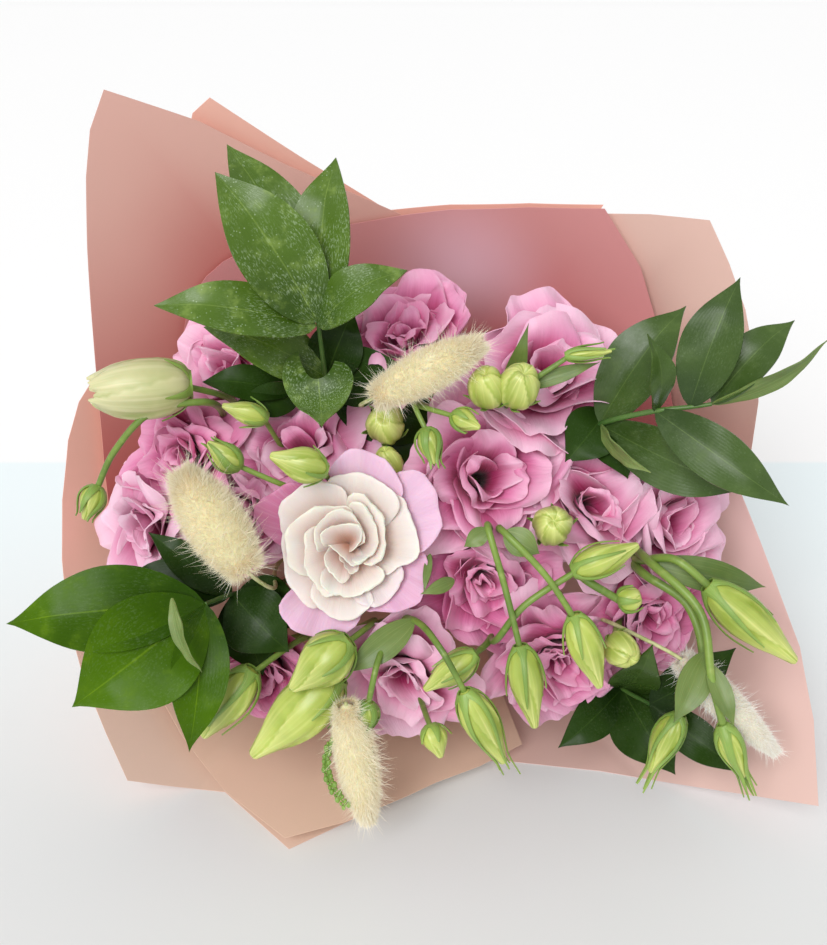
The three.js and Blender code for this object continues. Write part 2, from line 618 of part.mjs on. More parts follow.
function bunnyTail({ bundle, foot, tip, radius, way }, grow) {
  const start = seenAt(foot);
  const end = seenAt(tip);
  const length = start.distanceTo(end);
  const direction = end.clone().sub(start).normalize();
  const swell = (s) =>
    radius * Math.sin(Math.PI * (SWELL.from + SWELL.span * s)) ** SWELL.fullness;
  const profile = HEAD_RINGS.map((s) => [swell(s) + grow, s * length]);
  profile.unshift([0, -grow]);
  profile.push([0, length + grow]);
  const straw = [...throughTie(bundle, STRAW_RADIUS), ...way.map(seenAt), start];
  straw.push(start.clone().lerp(end, STRAW_SEAT));
  const pieces = [
    stalk(straw, STRAW_RADIUS + grow, THIN_SIDES, 1),
    turned(profile, HEAD_SIDES, start, direction),
  ];
  const turn = new THREE.Quaternion().setFromUnitVectors(new THREE.Vector3(0, 0, 1), direction);
  for (let i = 0; i < BRISTLES; i++) {
    const s = BRISTLE_PLACES.from + (BRISTLE_PLACES.span * (i + 0.5)) / BRISTLES;
    const out = around(1, GOLDEN_ANGLE * i).applyQuaternion(turn);
    const lean = out.clone().addScaledVector(direction, BRISTLE.lean).normalize();
    const root = start.clone().addScaledVector(direction, s * length);
    root.addScaledVector(out, swell(s) - BRISTLE.root);
    const bristle = [
      [0, 0],
      [BRISTLE.radius + grow, BRISTLE.barb],
      [0, BRISTLE.root + BRISTLE.length + 2 * grow],
    ];
    pieces.push(turned(bristle, THIN_SIDES, root, lean));
  }
  return joined(pieces);
}

// ---------------------------------------------------------------- wrapping paper and tie

// The paper's surface: a cone from the tie, pressed flat where it meets the table. layer 0 is the
// innermost sheet. The depth is for a point at radius and angle round the tie's axis.
function paperPoint(radius, angle, layer) {
  const across = around(radius, angle).add(TIE_CENTRE);
  const fromNeck = radius - NECK_RADIUS - NECK_PITCH * layer;
  const parted = THREE.MathUtils.clamp(fromNeck / PARTING_LENGTH, 0, 1);
  const parting = (RIM_PITCH - NECK_PITCH) * layer * parted;
  const rise = fromNeck / Math.tan(PAPER_SPREAD * DEGREE);
  const cone = TIE_CENTRE.z + TIE_WIDTH / 2 + rise - parting / Math.sin(PAPER_SPREAD * DEGREE);
  const height = PAPER_THICKNESS / 2 + RIM_PITCH * (PAPER_LAYERS - 1 - layer);
  const table = (height - FACE_HEIGHT - across.y * RISE_COSINE) / RISE_SINE;
  return across.setZ(Math.max(cone, table));
}

// Where the line of sight through a pixel meets that surface, as a radius and an angle. Each
// round comes nearer to it.
const SIGHT_ROUNDS = 30;
function onPaper([right, down], layer) {
  let out = 0;
  let offset;
  for (let i = 0; i < SIGHT_ROUNDS; i++) {
    offset = seenAt([right, down, out]).sub(TIE_CENTRE);
    const angle = Math.atan2(offset.y, offset.x) / DEGREE;
    out = 0.5 * (out + paperPoint(Math.hypot(offset.x, offset.y), angle, layer).z);
  }
  return {
    radius: Math.hypot(offset.x, offset.y),
    angle: Math.atan2(offset.y, offset.x) / DEGREE,
  };
}

// The sheets' cut edges in the photograph, anticlockwise. What another sheet hides is guessed.
const SHEETS = {
  paper_back_left: {
    layer: 0,
    edge: [
      [420, 240], [385, 208], [290, 166], [200, 122], [105, 91], [92, 132], [89, 180],
      [91, 250], [95, 330], [98, 400], [103, 470], [112, 540],
    ],
  },
  paper_front: {
    layer: 0,
    edge: [
      [140, 662], [180, 735], [225, 791], [285, 838], [345, 822], [405, 797], [437, 782],
      [480, 766], [522, 744],
    ],
  },
  paper_back: {
    layer: 1,
    edge: [
      [676, 430], [668, 380], [658, 330], [640, 268], [605, 208], [530, 205], [450, 209],
      [365, 216], [330, 240],
    ],
  },
  paper_right_back: {
    layer: 2,
    edge: [
      [738, 488], [747, 465], [758, 402], [757, 370], [745, 310], [728, 265], [708, 222],
      [650, 215], [605, 213], [540, 226],
    ],
  },
  paper_back_corner: {
    layer: 3,
    edge: [
      [604, 204], [530, 201], [450, 204], [388, 211], [300, 156], [210, 98], [193, 114],
      [186, 150],
    ],
  },
  paper_left: {
    layer: 3,
    edge: [
      [112, 330], [97, 374], [78, 402], [66, 440], [60, 500], [60, 560], [66, 620],
      [82, 680], [105, 735], [127, 781], [170, 786], [225, 792], [289, 849], [351, 820],
      [405, 780],
    ],
  },
  paper_right: {
    layer: 3,
    edge: [
      [428, 762], [505, 761], [600, 771], [665, 782], [751, 796], [821, 808], [817, 722],
      [802, 648], [772, 574], [739, 494], [728, 468],
    ],
  },
};
const LONGEST_EDGE_STEP = 14; // degrees between the grid lines of a sheet
const PAPER_ROWS = [-1, -TIE_WIDTH / TAIL_LENGTH, 0, 0.6, 1]; // below 0 is the tail

// A sheet of paper, gathered at the tie and cut along its edge.
function paperSolid({ layer, edge }) {
  const corners = edge.map((pixel) => onPaper(pixel, layer));
  corners.forEach((corner, i) => {
    if (i > 0 && corner.angle < corners[i - 1].angle) corner.angle += 360;
  });
  const rim = [corners[0]];
  corners.slice(1).forEach((corner, i) => {
    const last = corners[i];
    const parts = Math.ceil((corner.angle - last.angle) / LONGEST_EDGE_STEP);
    for (let k = 1; k <= parts; k++)
      rim.push({
        radius: THREE.MathUtils.lerp(last.radius, corner.radius, k / parts),
        angle: THREE.MathUtils.lerp(last.angle, corner.angle, k / parts),
      });
  });
  const neck = NECK_RADIUS + NECK_PITCH * layer;
  const between = (list, x) => {
    const i = THREE.MathUtils.clamp(Math.floor(x), 0, list.length - 2);
    return [list[i], list[i + 1], x - i];
  };
  const place = (q, s) => {
    const [a, b, k] = between(rim, ((q + 1) / 2) * (rim.length - 1));
    const [low, high, part] = between(PAPER_ROWS, s * (PAPER_ROWS.length - 1));
    const row = THREE.MathUtils.lerp(low, high, part);
    const angle = THREE.MathUtils.lerp(a.angle, b.angle, k);
    if (row < 0) {
      const beyond = Math.max(0, -row * TAIL_LENGTH - TIE_WIDTH);
      const ring = around(neck + TAIL_FLARE * beyond, angle).add(TIE_CENTRE);
      ring.z += TIE_WIDTH / 2 + row * TAIL_LENGTH;
      ring.y -= (beyond * CUT_END.y) / CUT_END.z;
      return ring;
    }
    const radius = THREE.MathUtils.lerp(neck, THREE.MathUtils.lerp(a.radius, b.radius, k), row);
    return paperPoint(radius, angle, layer);
  };
  return sheet(rim.length - 1, PAPER_ROWS.length - 1, PAPER_THICKNESS, place);
}

// The tie: a band drawn tight round the gathered paper.
const TIE_SIDES = 18;
function tieSolid() {
  const outermost = NECK_RADIUS + NECK_PITCH * (PAPER_LAYERS - 1);
  const inner = outermost + PAPER_THICKNESS / 2 + 2 * CLEARANCE;
  const outer = inner + TIE_THICKNESS;
  const profile = [
    [inner, -TIE_WIDTH / 2],
    [outer, -TIE_WIDTH / 2],
    [outer, TIE_WIDTH / 2],
    [inner, TIE_WIDTH / 2],
    [inner, -TIE_WIDTH / 2],
  ];
  return turned(profile, TIE_SIDES, TIE_CENTRE, AXIS);
}

// ---------------------------------------------------------------- the bouquet

const COLOURS = {
  petal: { color: 0xe07fb4, roughness: 0.6 },
  cream: { color: 0xf0dfd8, roughness: 0.6 },
  green: { color: 0x9bb352, roughness: 0.5 },
  ruscus: { color: 0x2f6b1e, roughness: 0.4 },
  straw: { color: 0xece2b4, roughness: 0.9 },
  paper: { color: 0xd99f93, roughness: 0.55 },
  coral: { color: 0xe8957c, roughness: 0.55 },
  ribbon: { color: 0xd98f86, roughness: 0.4 },
};

const sizeOf = (made) => {
  const { min, max } = made.boundingBox();
  return new THREE.Box3(new THREE.Vector3(...min), new THREE.Vector3(...max));
};
const largest = (made) =>
  made.decompose().reduce((big, one) => (one.volume() > big.volume() ? one : big));

// Each living piece in turn gives way to all before it: it is cut back by them, made fatter by
// the clearance. What that cuts off is dropped.
const living = [];
for (const stem of Object.keys(STEMS)) {
  const name = "lisianthus_stem_" + stem;
  living.push({ name, colour: "green", make: (g) => lisianthusStem(stem, g) });
}
for (const [name, spray] of Object.entries(RUSCUS))
  living.push({ name, colour: "ruscus", make: (g) => ruscusSpray(spray, g) });
for (const [name, tail] of Object.entries(BUNNY_TAILS))
  living.push({ name, colour: "straw", make: (g) => bunnyTail(tail, g) });
for (const [name, bloom] of Object.entries(BLOOMS)) {
  const colour = name === "bloom_cream" ? "cream" : "petal";
  living.push({ name, colour, make: (g) => bloomSolid(bloom, g) });
}

const bouquet = new THREE.Group();
bouquet.rotation.x = (90 - AXIS_RISE) * DEGREE;
bouquet.position.set(FACE_PLACE[0], FACE_PLACE[1], FACE_HEIGHT);

function add(name, colour, made) {
  const { numProp, vertProperties, triVerts } = made.getMesh();
  const geometry = new THREE.BufferGeometry();
  const points = new THREE.BufferAttribute(new Float32Array(vertProperties), numProp);
  geometry.setAttribute("position", points);
  geometry.setIndex(new THREE.BufferAttribute(new Uint32Array(triVerts), 1));
  geometry.computeVertexNormals();
  const mesh = new THREE.Mesh(geometry, new THREE.MeshStandardMaterial(COLOURS[colour]));
  mesh.name = name;
  bouquet.add(mesh);
}

const settled = [];
for (const piece of living) {
  let made = piece.make(0);
  const box = sizeOf(made);
  for (const before of settled)
    if (before.box.intersectsBox(box)) made = made.subtract(before.grown);
  made = largest(made).simplify(SMOOTHING);
  add(piece.name, piece.colour, made);
  const grown = piece.make(CLEARANCE);
  settled.push({ grown, box: sizeOf(grown) });
}

for (const [name, paper] of Object.entries(SHEETS)) {
  const colour = name === "paper_back_corner" || name === "paper_left" ? "coral" : "paper";
  add(name, colour, paperSolid(paper));
}
add("tie_band", "ribbon", tieSolid());

const group = new THREE.Group();
group.add(bouquet);

export default group;
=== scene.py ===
import math

import bpy
import numpy as np
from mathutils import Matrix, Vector


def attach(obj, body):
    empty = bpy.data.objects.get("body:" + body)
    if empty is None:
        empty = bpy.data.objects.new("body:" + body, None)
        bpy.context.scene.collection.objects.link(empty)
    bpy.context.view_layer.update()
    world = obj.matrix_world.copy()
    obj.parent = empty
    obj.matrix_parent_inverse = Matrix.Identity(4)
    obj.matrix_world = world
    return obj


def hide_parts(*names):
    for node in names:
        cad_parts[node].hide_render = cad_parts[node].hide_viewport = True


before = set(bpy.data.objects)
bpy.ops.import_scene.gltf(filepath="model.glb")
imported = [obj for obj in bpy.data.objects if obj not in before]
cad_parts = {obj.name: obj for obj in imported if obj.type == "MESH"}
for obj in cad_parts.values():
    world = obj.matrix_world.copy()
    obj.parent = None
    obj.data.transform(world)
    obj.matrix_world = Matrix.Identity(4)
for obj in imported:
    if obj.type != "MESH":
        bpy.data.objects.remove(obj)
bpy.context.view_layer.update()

# ---------------------------------------------------------------- table, light and camera
# The bouquet lies on a plain pale table and leans back, so that its axis climbs 30 degrees
# towards the viewer. Places below are [pixels right, pixels down, millimetres out of its face].

METRES = 0.001
RISE = math.radians(30)
FACE = np.array([-6.6, -95.8, 154.0])  # the middle of its face, in millimetres over the table
FACE_AXES = np.array([
    [1.0, 0.0, 0.0],
    [0.0, math.sin(RISE), math.cos(RISE)],
    [0.0, -math.cos(RISE), math.sin(RISE)],
])
PICTURE_CENTRE = (413.5, 472.5)
PICTURE_HEIGHT = 945
MM_PER_PIXEL = 0.44
VIEW_DISTANCE = 560.0


def placed(points):
    """From the bouquet's own millimetres to metres over the table."""
    return (FACE + np.asarray(points, float) @ FACE_AXES) * METRES


def seen_at(place):
    """Such a place in the bouquet's own millimetres."""
    right, down, out = place
    scale = MM_PER_PIXEL * (VIEW_DISTANCE - out) / VIEW_DISTANCE
    return np.array([(right - PICTURE_CENTRE[0]) * scale, (PICTURE_CENTRE[1] - down) * scale, out])


def deselect():
    bpy.ops.object.select_all(action="DESELECT")


class Wire:
    """The output of a shader node. Arithmetic on it adds Math nodes."""

    def __init__(self, tree, socket):
        self.tree, self.socket = tree, socket

    def node(self, kind, settings=None, inputs=None, output=0):
        made = self.tree.nodes.new(kind)
        for name, value in (settings or {}).items():
            setattr(made, name, value)
        for name, value in (inputs or {}).items():
            if isinstance(value, Wire):
                self.tree.links.new(value.socket, made.inputs[name])
            else:
                made.inputs[name].default_value = value
        return Wire(self.tree, made.outputs[output])

    def math(self, operation, a, b=0.0):
        return self.node("ShaderNodeMath", {"operation": operation}, {0: a, 1: b})

    def __add__(self, other): return self.math("ADD", self, other)
    def __radd__(self, other): return self.math("ADD", other, self)
    def __sub__(self, other): return self.math("SUBTRACT", self, other)
    def __rsub__(self, other): return self.math("SUBTRACT", other, self)
    def __mul__(self, other): return self.math("MULTIPLY", self, other)
    def __rmul__(self, other): return self.math("MULTIPLY", other, self)

    def eased(self, low, high):
        return self.node("ShaderNodeMapRange", {"interpolation_type": "SMOOTHSTEP"},
                         {"Value": self, "From Min": low, "From Max": high})

    def scaled(self, factors):
        return self.node("ShaderNodeVectorMath", {"operation": "MULTIPLY"}, {0: self, 1: factors})

    def noise(self, scale, detail=3.0, roughness=0.5):
        return self.node("ShaderNodeTexNoise", {},
                         {"Vector": self, "Scale": scale, "Detail": detail, "Roughness": roughness})

    def mixed(self, a, b):
        """Colour a where this is 0, and b where it is 1."""
        a, b = (c if isinstance(c, Wire) else (*c, 1) for c in (a, b))
        return self.node("ShaderNodeMix", {"data_type": "RGBA"}, {0: self, 6: a, 7: b}, output=2)

    def parts(self):
        split = self.node("ShaderNodeSeparateXYZ", {}, {0: self}).socket.node
        return [Wire(self.tree, socket) for socket in split.outputs]

    def bump(self, strength, distance):
        return self.node("ShaderNodeBump", {},
                         {"Height": self, "Strength": strength, "Distance": distance})


def new_finish(name, **fixed):
    """A material, its shader, and the wires that patterns start from."""
    material = bpy.data.materials.new(name)
    material.use_nodes = True
    tree = material.node_tree
    shader = tree.nodes["Principled BSDF"]
    for socket, value in fixed.items():
        shader.inputs[socket.replace("_", " ")].default_value = value
    start = Wire(tree, None)
    place = start.node("ShaderNodeTexCoord", output=3)
    along = start.node("ShaderNodeUVMap", {"uv_map": "UVMap"})
    tint = start.node("ShaderNodeAttribute", {"attribute_name": "tint"}, output=2)
    return material, shader, place, along, tint


def feed(shader, **wires):
    for socket, wire in wires.items():
        wire.tree.links.new(wire.socket, shader.inputs[socket.replace("_", " ")])


bpy.ops.object.camera_add(
    location=placed([0, 0, VIEW_DISTANCE]), rotation=(math.pi / 2 - RISE, 0, 0))
camera = bpy.context.object
camera.data.lens = camera.data.sensor_width * VIEW_DISTANCE / (PICTURE_HEIGHT * MM_PER_PIXEL)
bpy.context.scene.camera = camera

TABLE_END = 0.184  # the table's far edge, against the white wall
deselect()
bpy.ops.mesh.primitive_plane_add(size=12)
table = bpy.context.object
table.name = "table"
finish, shader, place, along, tint = new_finish("pale table", Roughness=0.5)
behind = place.parts()[1]
# The table is greyer near the bouquet and paler and bluer further back: painted window light.
table_painted_window_light = behind.eased(-0.25, TABLE_END).mixed((0.785, 0.795, 0.79), (0.88, 0.97, 0.99))
wall = behind.eased(TABLE_END - 0.002, TABLE_END + 0.004)
feed(shader, Base_Color=wall.mixed(table_painted_window_light, (1.0, 1.0, 1.0)))
table.data.materials.append(finish)

# An overcast window at the upper left gives the key light, and the pale room the rest.
WINDOW_TURN = (math.radians(48), math.radians(-24), 0)
bpy.ops.object.light_add(type="SUN", location=(0, 0, 2), rotation=WINDOW_TURN)
window = bpy.context.object
window.data.energy = 2.3
window.data.angle = math.radians(34)
sky = bpy.data.worlds.new("soft studio light")
bpy.context.scene.world = sky
sky.use_nodes = True
sky.node_tree.nodes["Background"].inputs["Color"].default_value = (1.0, 1.0, 1.0, 1)
sky.node_tree.nodes["Background"].inputs["Strength"].default_value = 0.6
bpy.context.scene.view_settings.view_transform = "Standard"

# ---------------------------------------------------------------- lisianthus blooms
# Sixteen double lisianthus. Each is grown as one: thin soft petals in overlapping whorls round a
# furled heart, with ruffled lips that roll back. Every petal is bent from a flat grid.

BLOOM_RADIUS = 38.0
HEART_HEIGHT = 33.0
PETAL_THICKNESS = 0.3
PETAL_GRID = (24, 22)
SMOOTH_BELOW = math.radians(50)


def eased(x, low, high):
    share = np.clip((x - low) / (high - low), 0, 1)
    return share * share * (3 - 2 * share)


def blank(columns, rows):
    """A flat grid, from -1 to 1 each way, that blades and petals are bent from."""
    deselect()
    bpy.ops.mesh.primitive_grid_add(x_subdivisions=columns, y_subdivisions=rows, size=2)
    return kept_mesh()


def kept_mesh():
    """The mesh of the primitive that was just added, as a blank for copies."""
    mesh = bpy.context.object.data
    bpy.data.objects.remove(bpy.context.object)
    mesh.attributes.new("tint", "FLOAT", "POINT")
    return mesh


def flat_places(mesh):
    places = np.empty(len(mesh.vertices) * 3)
    mesh.vertices.foreach_get("co", places)
    return places.reshape(-1, 3)


def linked(name, data):
    made = bpy.data.objects.new(name, data)
    bpy.context.collection.objects.link(made)
    return made


def shaped(blank_mesh, points, tint=0.0):
    """A copy of a blank with its points moved, in the bouquet's millimetres, and tinted."""
    mesh = blank_mesh.copy()
    mesh.vertices.foreach_set("co", placed(points).ravel())
    mesh.attributes["tint"].data.foreach_set("value", np.full(len(points), tint, np.float32))
    return linked("part", mesh)


def bent(grid, place, tint=0.0):
    """A copy of a grid whose points go where place(q, s) says, q across and s along it."""
    flat = flat_places(grid)
    return shaped(grid, place(flat[:, 0], (flat[:, 1] + 1) / 2), tint)


def picked(piece):
    deselect()
    piece.select_set(True)
    bpy.context.view_layer.objects.active = piece


def joined(parts, name):
    picked(parts[0])
    for part in parts:
        part.select_set(True)
    if len(parts) > 1:
        bpy.ops.object.join()
    parts[0].name = name
    return parts[0]


def thickened(piece, thickness):
    picked(piece)
    shell = piece.modifiers.new("thickness", "SOLIDIFY")
    shell.thickness = thickness * METRES
    shell.offset = 0
    bpy.ops.object.modifier_apply(modifier=shell.name)
    return piece


def on_the_bouquet(piece, node, finish=None):
    """Smooths a finished piece and puts it in its CAD node's place."""
    picked(piece)
    bpy.ops.object.shade_smooth_by_angle(angle=SMOOTH_BELOW)
    if finish:
        piece.data.materials.clear()
        piece.data.materials.append(finish)
    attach(piece, "root")
    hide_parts(node)


PETAL_OPENING = 1.15  # how late a petal leans out on its way to the lip
TIGHT_CURL = 32  # degrees from which on a lip curls late
LIP_ROUNDING = 0.28  # how far a lip falls short at its corners, as a share of its length
PETAL_LAP = 3.0  # millimetres that one edge lies over a neighbour, and the other under one
EDGE_ROLL = 1.2  # millimetres that both edges roll back
LIP_TWIST = 0.2
PRESSED_BY = 3.0  # millimetres that the neighbours push a bloom out of round


def petal_places(start, lean_foot, lean_lip, curl, length, width, ruffle, frill, skew, flat,
                 turn, waves, phases):
    """Where a petal's points lie round its bloom's axis, foot at the origin."""
    t = np.linspace(0, 1.06, 72)
    curls_from = 0.66 if curl < TIGHT_CURL else 0.82
    lean = np.radians(lean_foot + (lean_lip - lean_foot) * t ** PETAL_OPENING
                      + curl * eased(t, curls_from, 1.0))
    step = length * (t[1] - t[0])
    radii = start + step * np.concatenate([[0], np.cumsum(np.sin(lean[:-1]))])
    heights = step * np.concatenate([[0], np.cumsum(np.cos(lean[:-1]))])
    a, b, c = phases

    def place(q, s):
        s = 1 - (1 - s) ** 1.3  # the rows are closer together near the lip
        lip = 1 - LIP_ROUNDING * np.abs(q) ** 3.4 + 0.05 * skew * q
        notches = frill * (0.02 * np.sin(9 * q + a) + 0.012 * np.sin(17 * q + c)) * s
        reach = s * (lip + notches)
        radius, height, tilt = (np.interp(reach, t, run) for run in (radii, heights, lean))
        half = width * (0.18 + 0.82 * np.sin(np.minimum(s / 0.74, 1) * math.pi / 2) ** 0.85)
        half = half * (1 - 0.22 * eased(s, 0.8, 1))
        hoop = np.maximum(radius, 2.2) * flat
        loose = eased(s, 0.3, 1)
        wave = ruffle * loose * (
            np.sin(math.pi * waves * q + a)
            + 0.55 * np.sin(math.pi * 1.9 * waves * q + b + 2 * s)
            + 0.35 * np.sin(5 * s + c) * np.sin(2 * q + b))
        wave = wave + 0.26 * frill * ruffle * eased(s, 0.75, 1) * (
            np.sin(12 * q + b) + 0.5 * np.sin(21 * q + c))
        out = wave + PETAL_LAP * q * eased(s, 0, 0.35) + EDGE_ROLL * loose * np.abs(q) ** 3
        radius = radius + out * np.cos(tilt)
        height = height - out * np.sin(tilt)
        swing = turn + LIP_TWIST * s
        around = half * q / hoop + 0.25 * skew * s * s
        x = radius - hoop + hoop * np.cos(around)
        y = hoop * np.sin(around)
        return np.stack([
            x * np.cos(swing) - y * np.sin(swing),
            x * np.sin(swing) + y * np.cos(swing),
            height,
        ], axis=1)

    return place


def pressed(place, phases):
    """A petal of a bloom that is pressed out of round by its neighbours."""
    a, b, c, d, e, f = phases

    def bend(q, s):
        points = place(q, s)
        x, y, z = points.T
        push = PRESSED_BY * eased(np.hypot(x, y) + 0.3 * z, 4, 30)
        return points + np.stack([
            push * np.sin(0.10 * y + 0.05 * z + a) + 0.4 * push * np.sin(0.21 * y + b),
            push * np.sin(0.10 * x + 0.06 * z + c) + 0.4 * push * np.sin(0.19 * x + d),
            push * (np.sin(0.08 * x + 0.09 * y + e) + 0.4 * np.sin(0.2 * x - 0.17 * y + f)),
        ], axis=1)

    return bend


# Whorls from the outside in: petals, radius at the foot, lean at foot and lip in degrees, how
# far the lip curls on, length, half width, ruffle, and how much deeper each is: painted shade.
RUFFLED = (
    (5, 2.5, 38, 92, 18, 46, 29, 2.2, 0.00),
    (5, 2.4, 29, 76, 26, 43, 27, 2.6, 0.15),
    (4, 2.2, 20, 56, 40, 39, 24, 2.8, 0.35),
    (4, 2.2, 13, 36, 60, 36, 19, 2.6, 0.50),
    (3, 2.0, 8, 18, 80, 33, 14, 2.2, 0.65),
    (2, 1.4, 4, 4, 80, 31, 9, 1.6, 0.75),
)
HOLLOW = (
    (5, 2.5, 36, 92, 8, 48, 29, 1.6, 0.00),
    (5, 2.4, 28, 77, 14, 44, 27, 1.8, 0.10),
    (4, 2.2, 22, 60, 24, 40, 25, 2.0, 0.25),
    (3, 2.6, 14, 38, 70, 36, 18, 1.8, 0.40),
    (3, 2.8, 8, 18, 95, 33, 12, 1.5, 0.50),
)
LOOSE = (
    (5, 2.5, 38, 88, 10, 48, 32, 2.6, 0.00),
    (4, 2.4, 27, 68, 18, 45, 32, 3.0, 0.10),
    (3, 2.2, 16, 44, 36, 40, 27, 3.0, 0.30),
    (3, 2.0, 9, 22, 70, 35, 17, 2.4, 0.50),
)


def through(points, steps):
    """Points on a smooth curve through the given ones."""
    points = [np.asarray(p, float) for p in points]
    points = [2 * points[0] - points[1], *points, 2 * points[-1] - points[-2]]
    gaps = [max(1e-4, math.sqrt(np.linalg.norm(b - a))) for a, b in zip(points, points[1:])]
    curve = []
    for k in range(len(points) - 3):
        p0, p1, p2, p3 = points[k:k + 4]
        d0, d1, d2 = gaps[k:k + 3]
        leave = ((p1 - p0) / d0 - (p2 - p0) / (d0 + d1) + (p2 - p1) / d1) * d1
        meet = ((p2 - p1) / d1 - (p3 - p1) / (d1 + d2) + (p3 - p2) / d2) * d1
        for t in np.arange(steps) / steps:
            curve.append(p1 + leave * t + (3 * (p2 - p1) - 2 * leave - meet) * t**2
                         + (2 * (p1 - p2) + leave + meet) * t**3)
    curve.append(points[-2])
    return np.array(curve)


def way_along(curve):
    """How far along a curve each of its points is."""
    return np.concatenate([[0], np.cumsum(np.linalg.norm(np.diff(curve, axis=0), axis=1))])


# The full bloom's petals, from the outside in: how much cream is in each, how far out of the
# bouquet's face its lip and its floor are, how far the lip rolls back, and where it runs.
FULL_BLOOM = (
    (-0.7, 24.0, 1, 0.5, [(300, 560), (283, 549), (272, 538), (262, 526), (254, 511), (257, 505),
        (268, 494), (281, 487), (293, 484), (305, 484), (318, 490)]),
    (-0.1, 23.0, 1, 0.5, [(366, 612), (352, 628), (336, 639), (320, 639), (304, 634), (289, 625),
        (281, 611), (284, 601), (291, 588), (302, 575)]),
    (-0.3, 23.5, 1, 0.5, [(420, 540), (426, 552), (427, 566), (424, 584), (418, 602), (406, 608),
        (392, 611), (378, 613), (364, 610), (352, 598)]),
    (0.1, 24.0, 1, 0.6, [(386, 480), (394, 472), (408, 471), (422, 474), (431, 486), (439, 506),
        (442, 522), (436, 537), (426, 549), (408, 556)]),
    (0.25, 25.5, 1, 0.6, [(318, 500), (326, 484), (334, 465), (345, 453), (358, 451), (371, 452),
        (384, 459), (393, 470), (403, 486), (404, 502)]),
    (0.5, 26.0, 1, 0.6, [(398, 558), (403, 570), (400, 583), (395, 594), (388, 602), (376, 605),
        (362, 604), (350, 598)]),
    (0.55, 27.0, 1, 0.6, [(328, 598), (317, 609), (307, 604), (298, 595), (289, 581), (284, 567),
        (282, 554), (282, 542), (284, 530), (290, 520)]),
    (0.6, 27.5, 1, 0.7, [(366, 590), (373, 600), (366, 611), (356, 618), (345, 620), (334, 618),
        (326, 612), (318, 603), (311, 592), (312, 578)]),
    (0.65, 27.0, 1, 0.7, [(384, 490), (396, 493), (406, 502), (410, 514), (413, 527), (418, 540),
        (418, 552), (411, 560), (400, 566), (386, 576), (374, 570)]),
    (0.6, 28.0, 1, 0.7, [(324, 490), (330, 479), (342, 474), (357, 473), (371, 477), (384, 485),
        (393, 494), (399, 506), (396, 520)]),
    (0.55, 28.5, 1, 0.7, [(298, 545), (284, 537), (279, 525), (279, 512), (286, 500), (296, 491),
        (306, 485), (318, 482), (330, 483), (341, 487), (348, 496), (350, 508)]),
    (0.9, 30.5, 8, 0.9, [(306, 584), (294, 572), (287, 559), (285, 544), (289, 530), (296, 520),
        (308, 513), (322, 508), (337, 505), (350, 508), (356, 520)]),
    (1.0, 30.0, 6, 1.0, [(372, 564), (383, 572), (377, 583), (365, 593), (352, 597), (340, 594),
        (331, 593), (324, 584), (318, 572)]),
    (0.9, 31.0, 8, 1.0, [(334, 588), (330, 596), (321, 592), (314, 581), (306, 568), (304, 548),
        (309, 533), (318, 522)]),
    (1.0, 31.5, 8, 1.1, [(345, 505), (350, 495), (363, 496), (373, 505), (381, 516), (385, 530),
        (384, 545), (379, 557), (371, 564), (356, 563)]),
    (1.0, 32.5, 11, 1.0, [(346, 512), (351, 501), (360, 504), (369, 514), (376, 526), (377, 540),
        (372, 552), (361, 560), (347, 560)]),
    (1.0, 33.0, 13, 0.9, [(312, 556), (314, 540), (317, 527), (325, 517), (336, 512), (347, 513),
        (357, 520), (363, 529), (364, 540), (358, 549)]),
    (1.0, 33.0, 18, 0.8, [(320, 550), (321, 537), (326, 529), (335, 525), (346, 524), (357, 528),
        (361, 536), (357, 545), (348, 554)]),
    (1.0, 32.5, 14, 0.8, [(350, 578), (342, 582), (334, 574), (328, 565), (325, 554),
        (329, 544)]),
    (1.0, 33.5, 20, 0.8, [(366, 552), (362, 562), (352, 564), (343, 558), (336, 551), (330, 543),
        (323, 545)]),
    (1.0, 32.0, 15, 0.6, [(360, 566), (354, 573), (347, 570), (341, 562), (336, 556)]),
)
CREST = 0.86  # the share of a petal at which it reaches its lip
ROLL_TURN = 2.1  # how far round it rolls from there, in radians
CLOSE_FOLDS = 1.5  # the inner petals' folds against the outer ones'


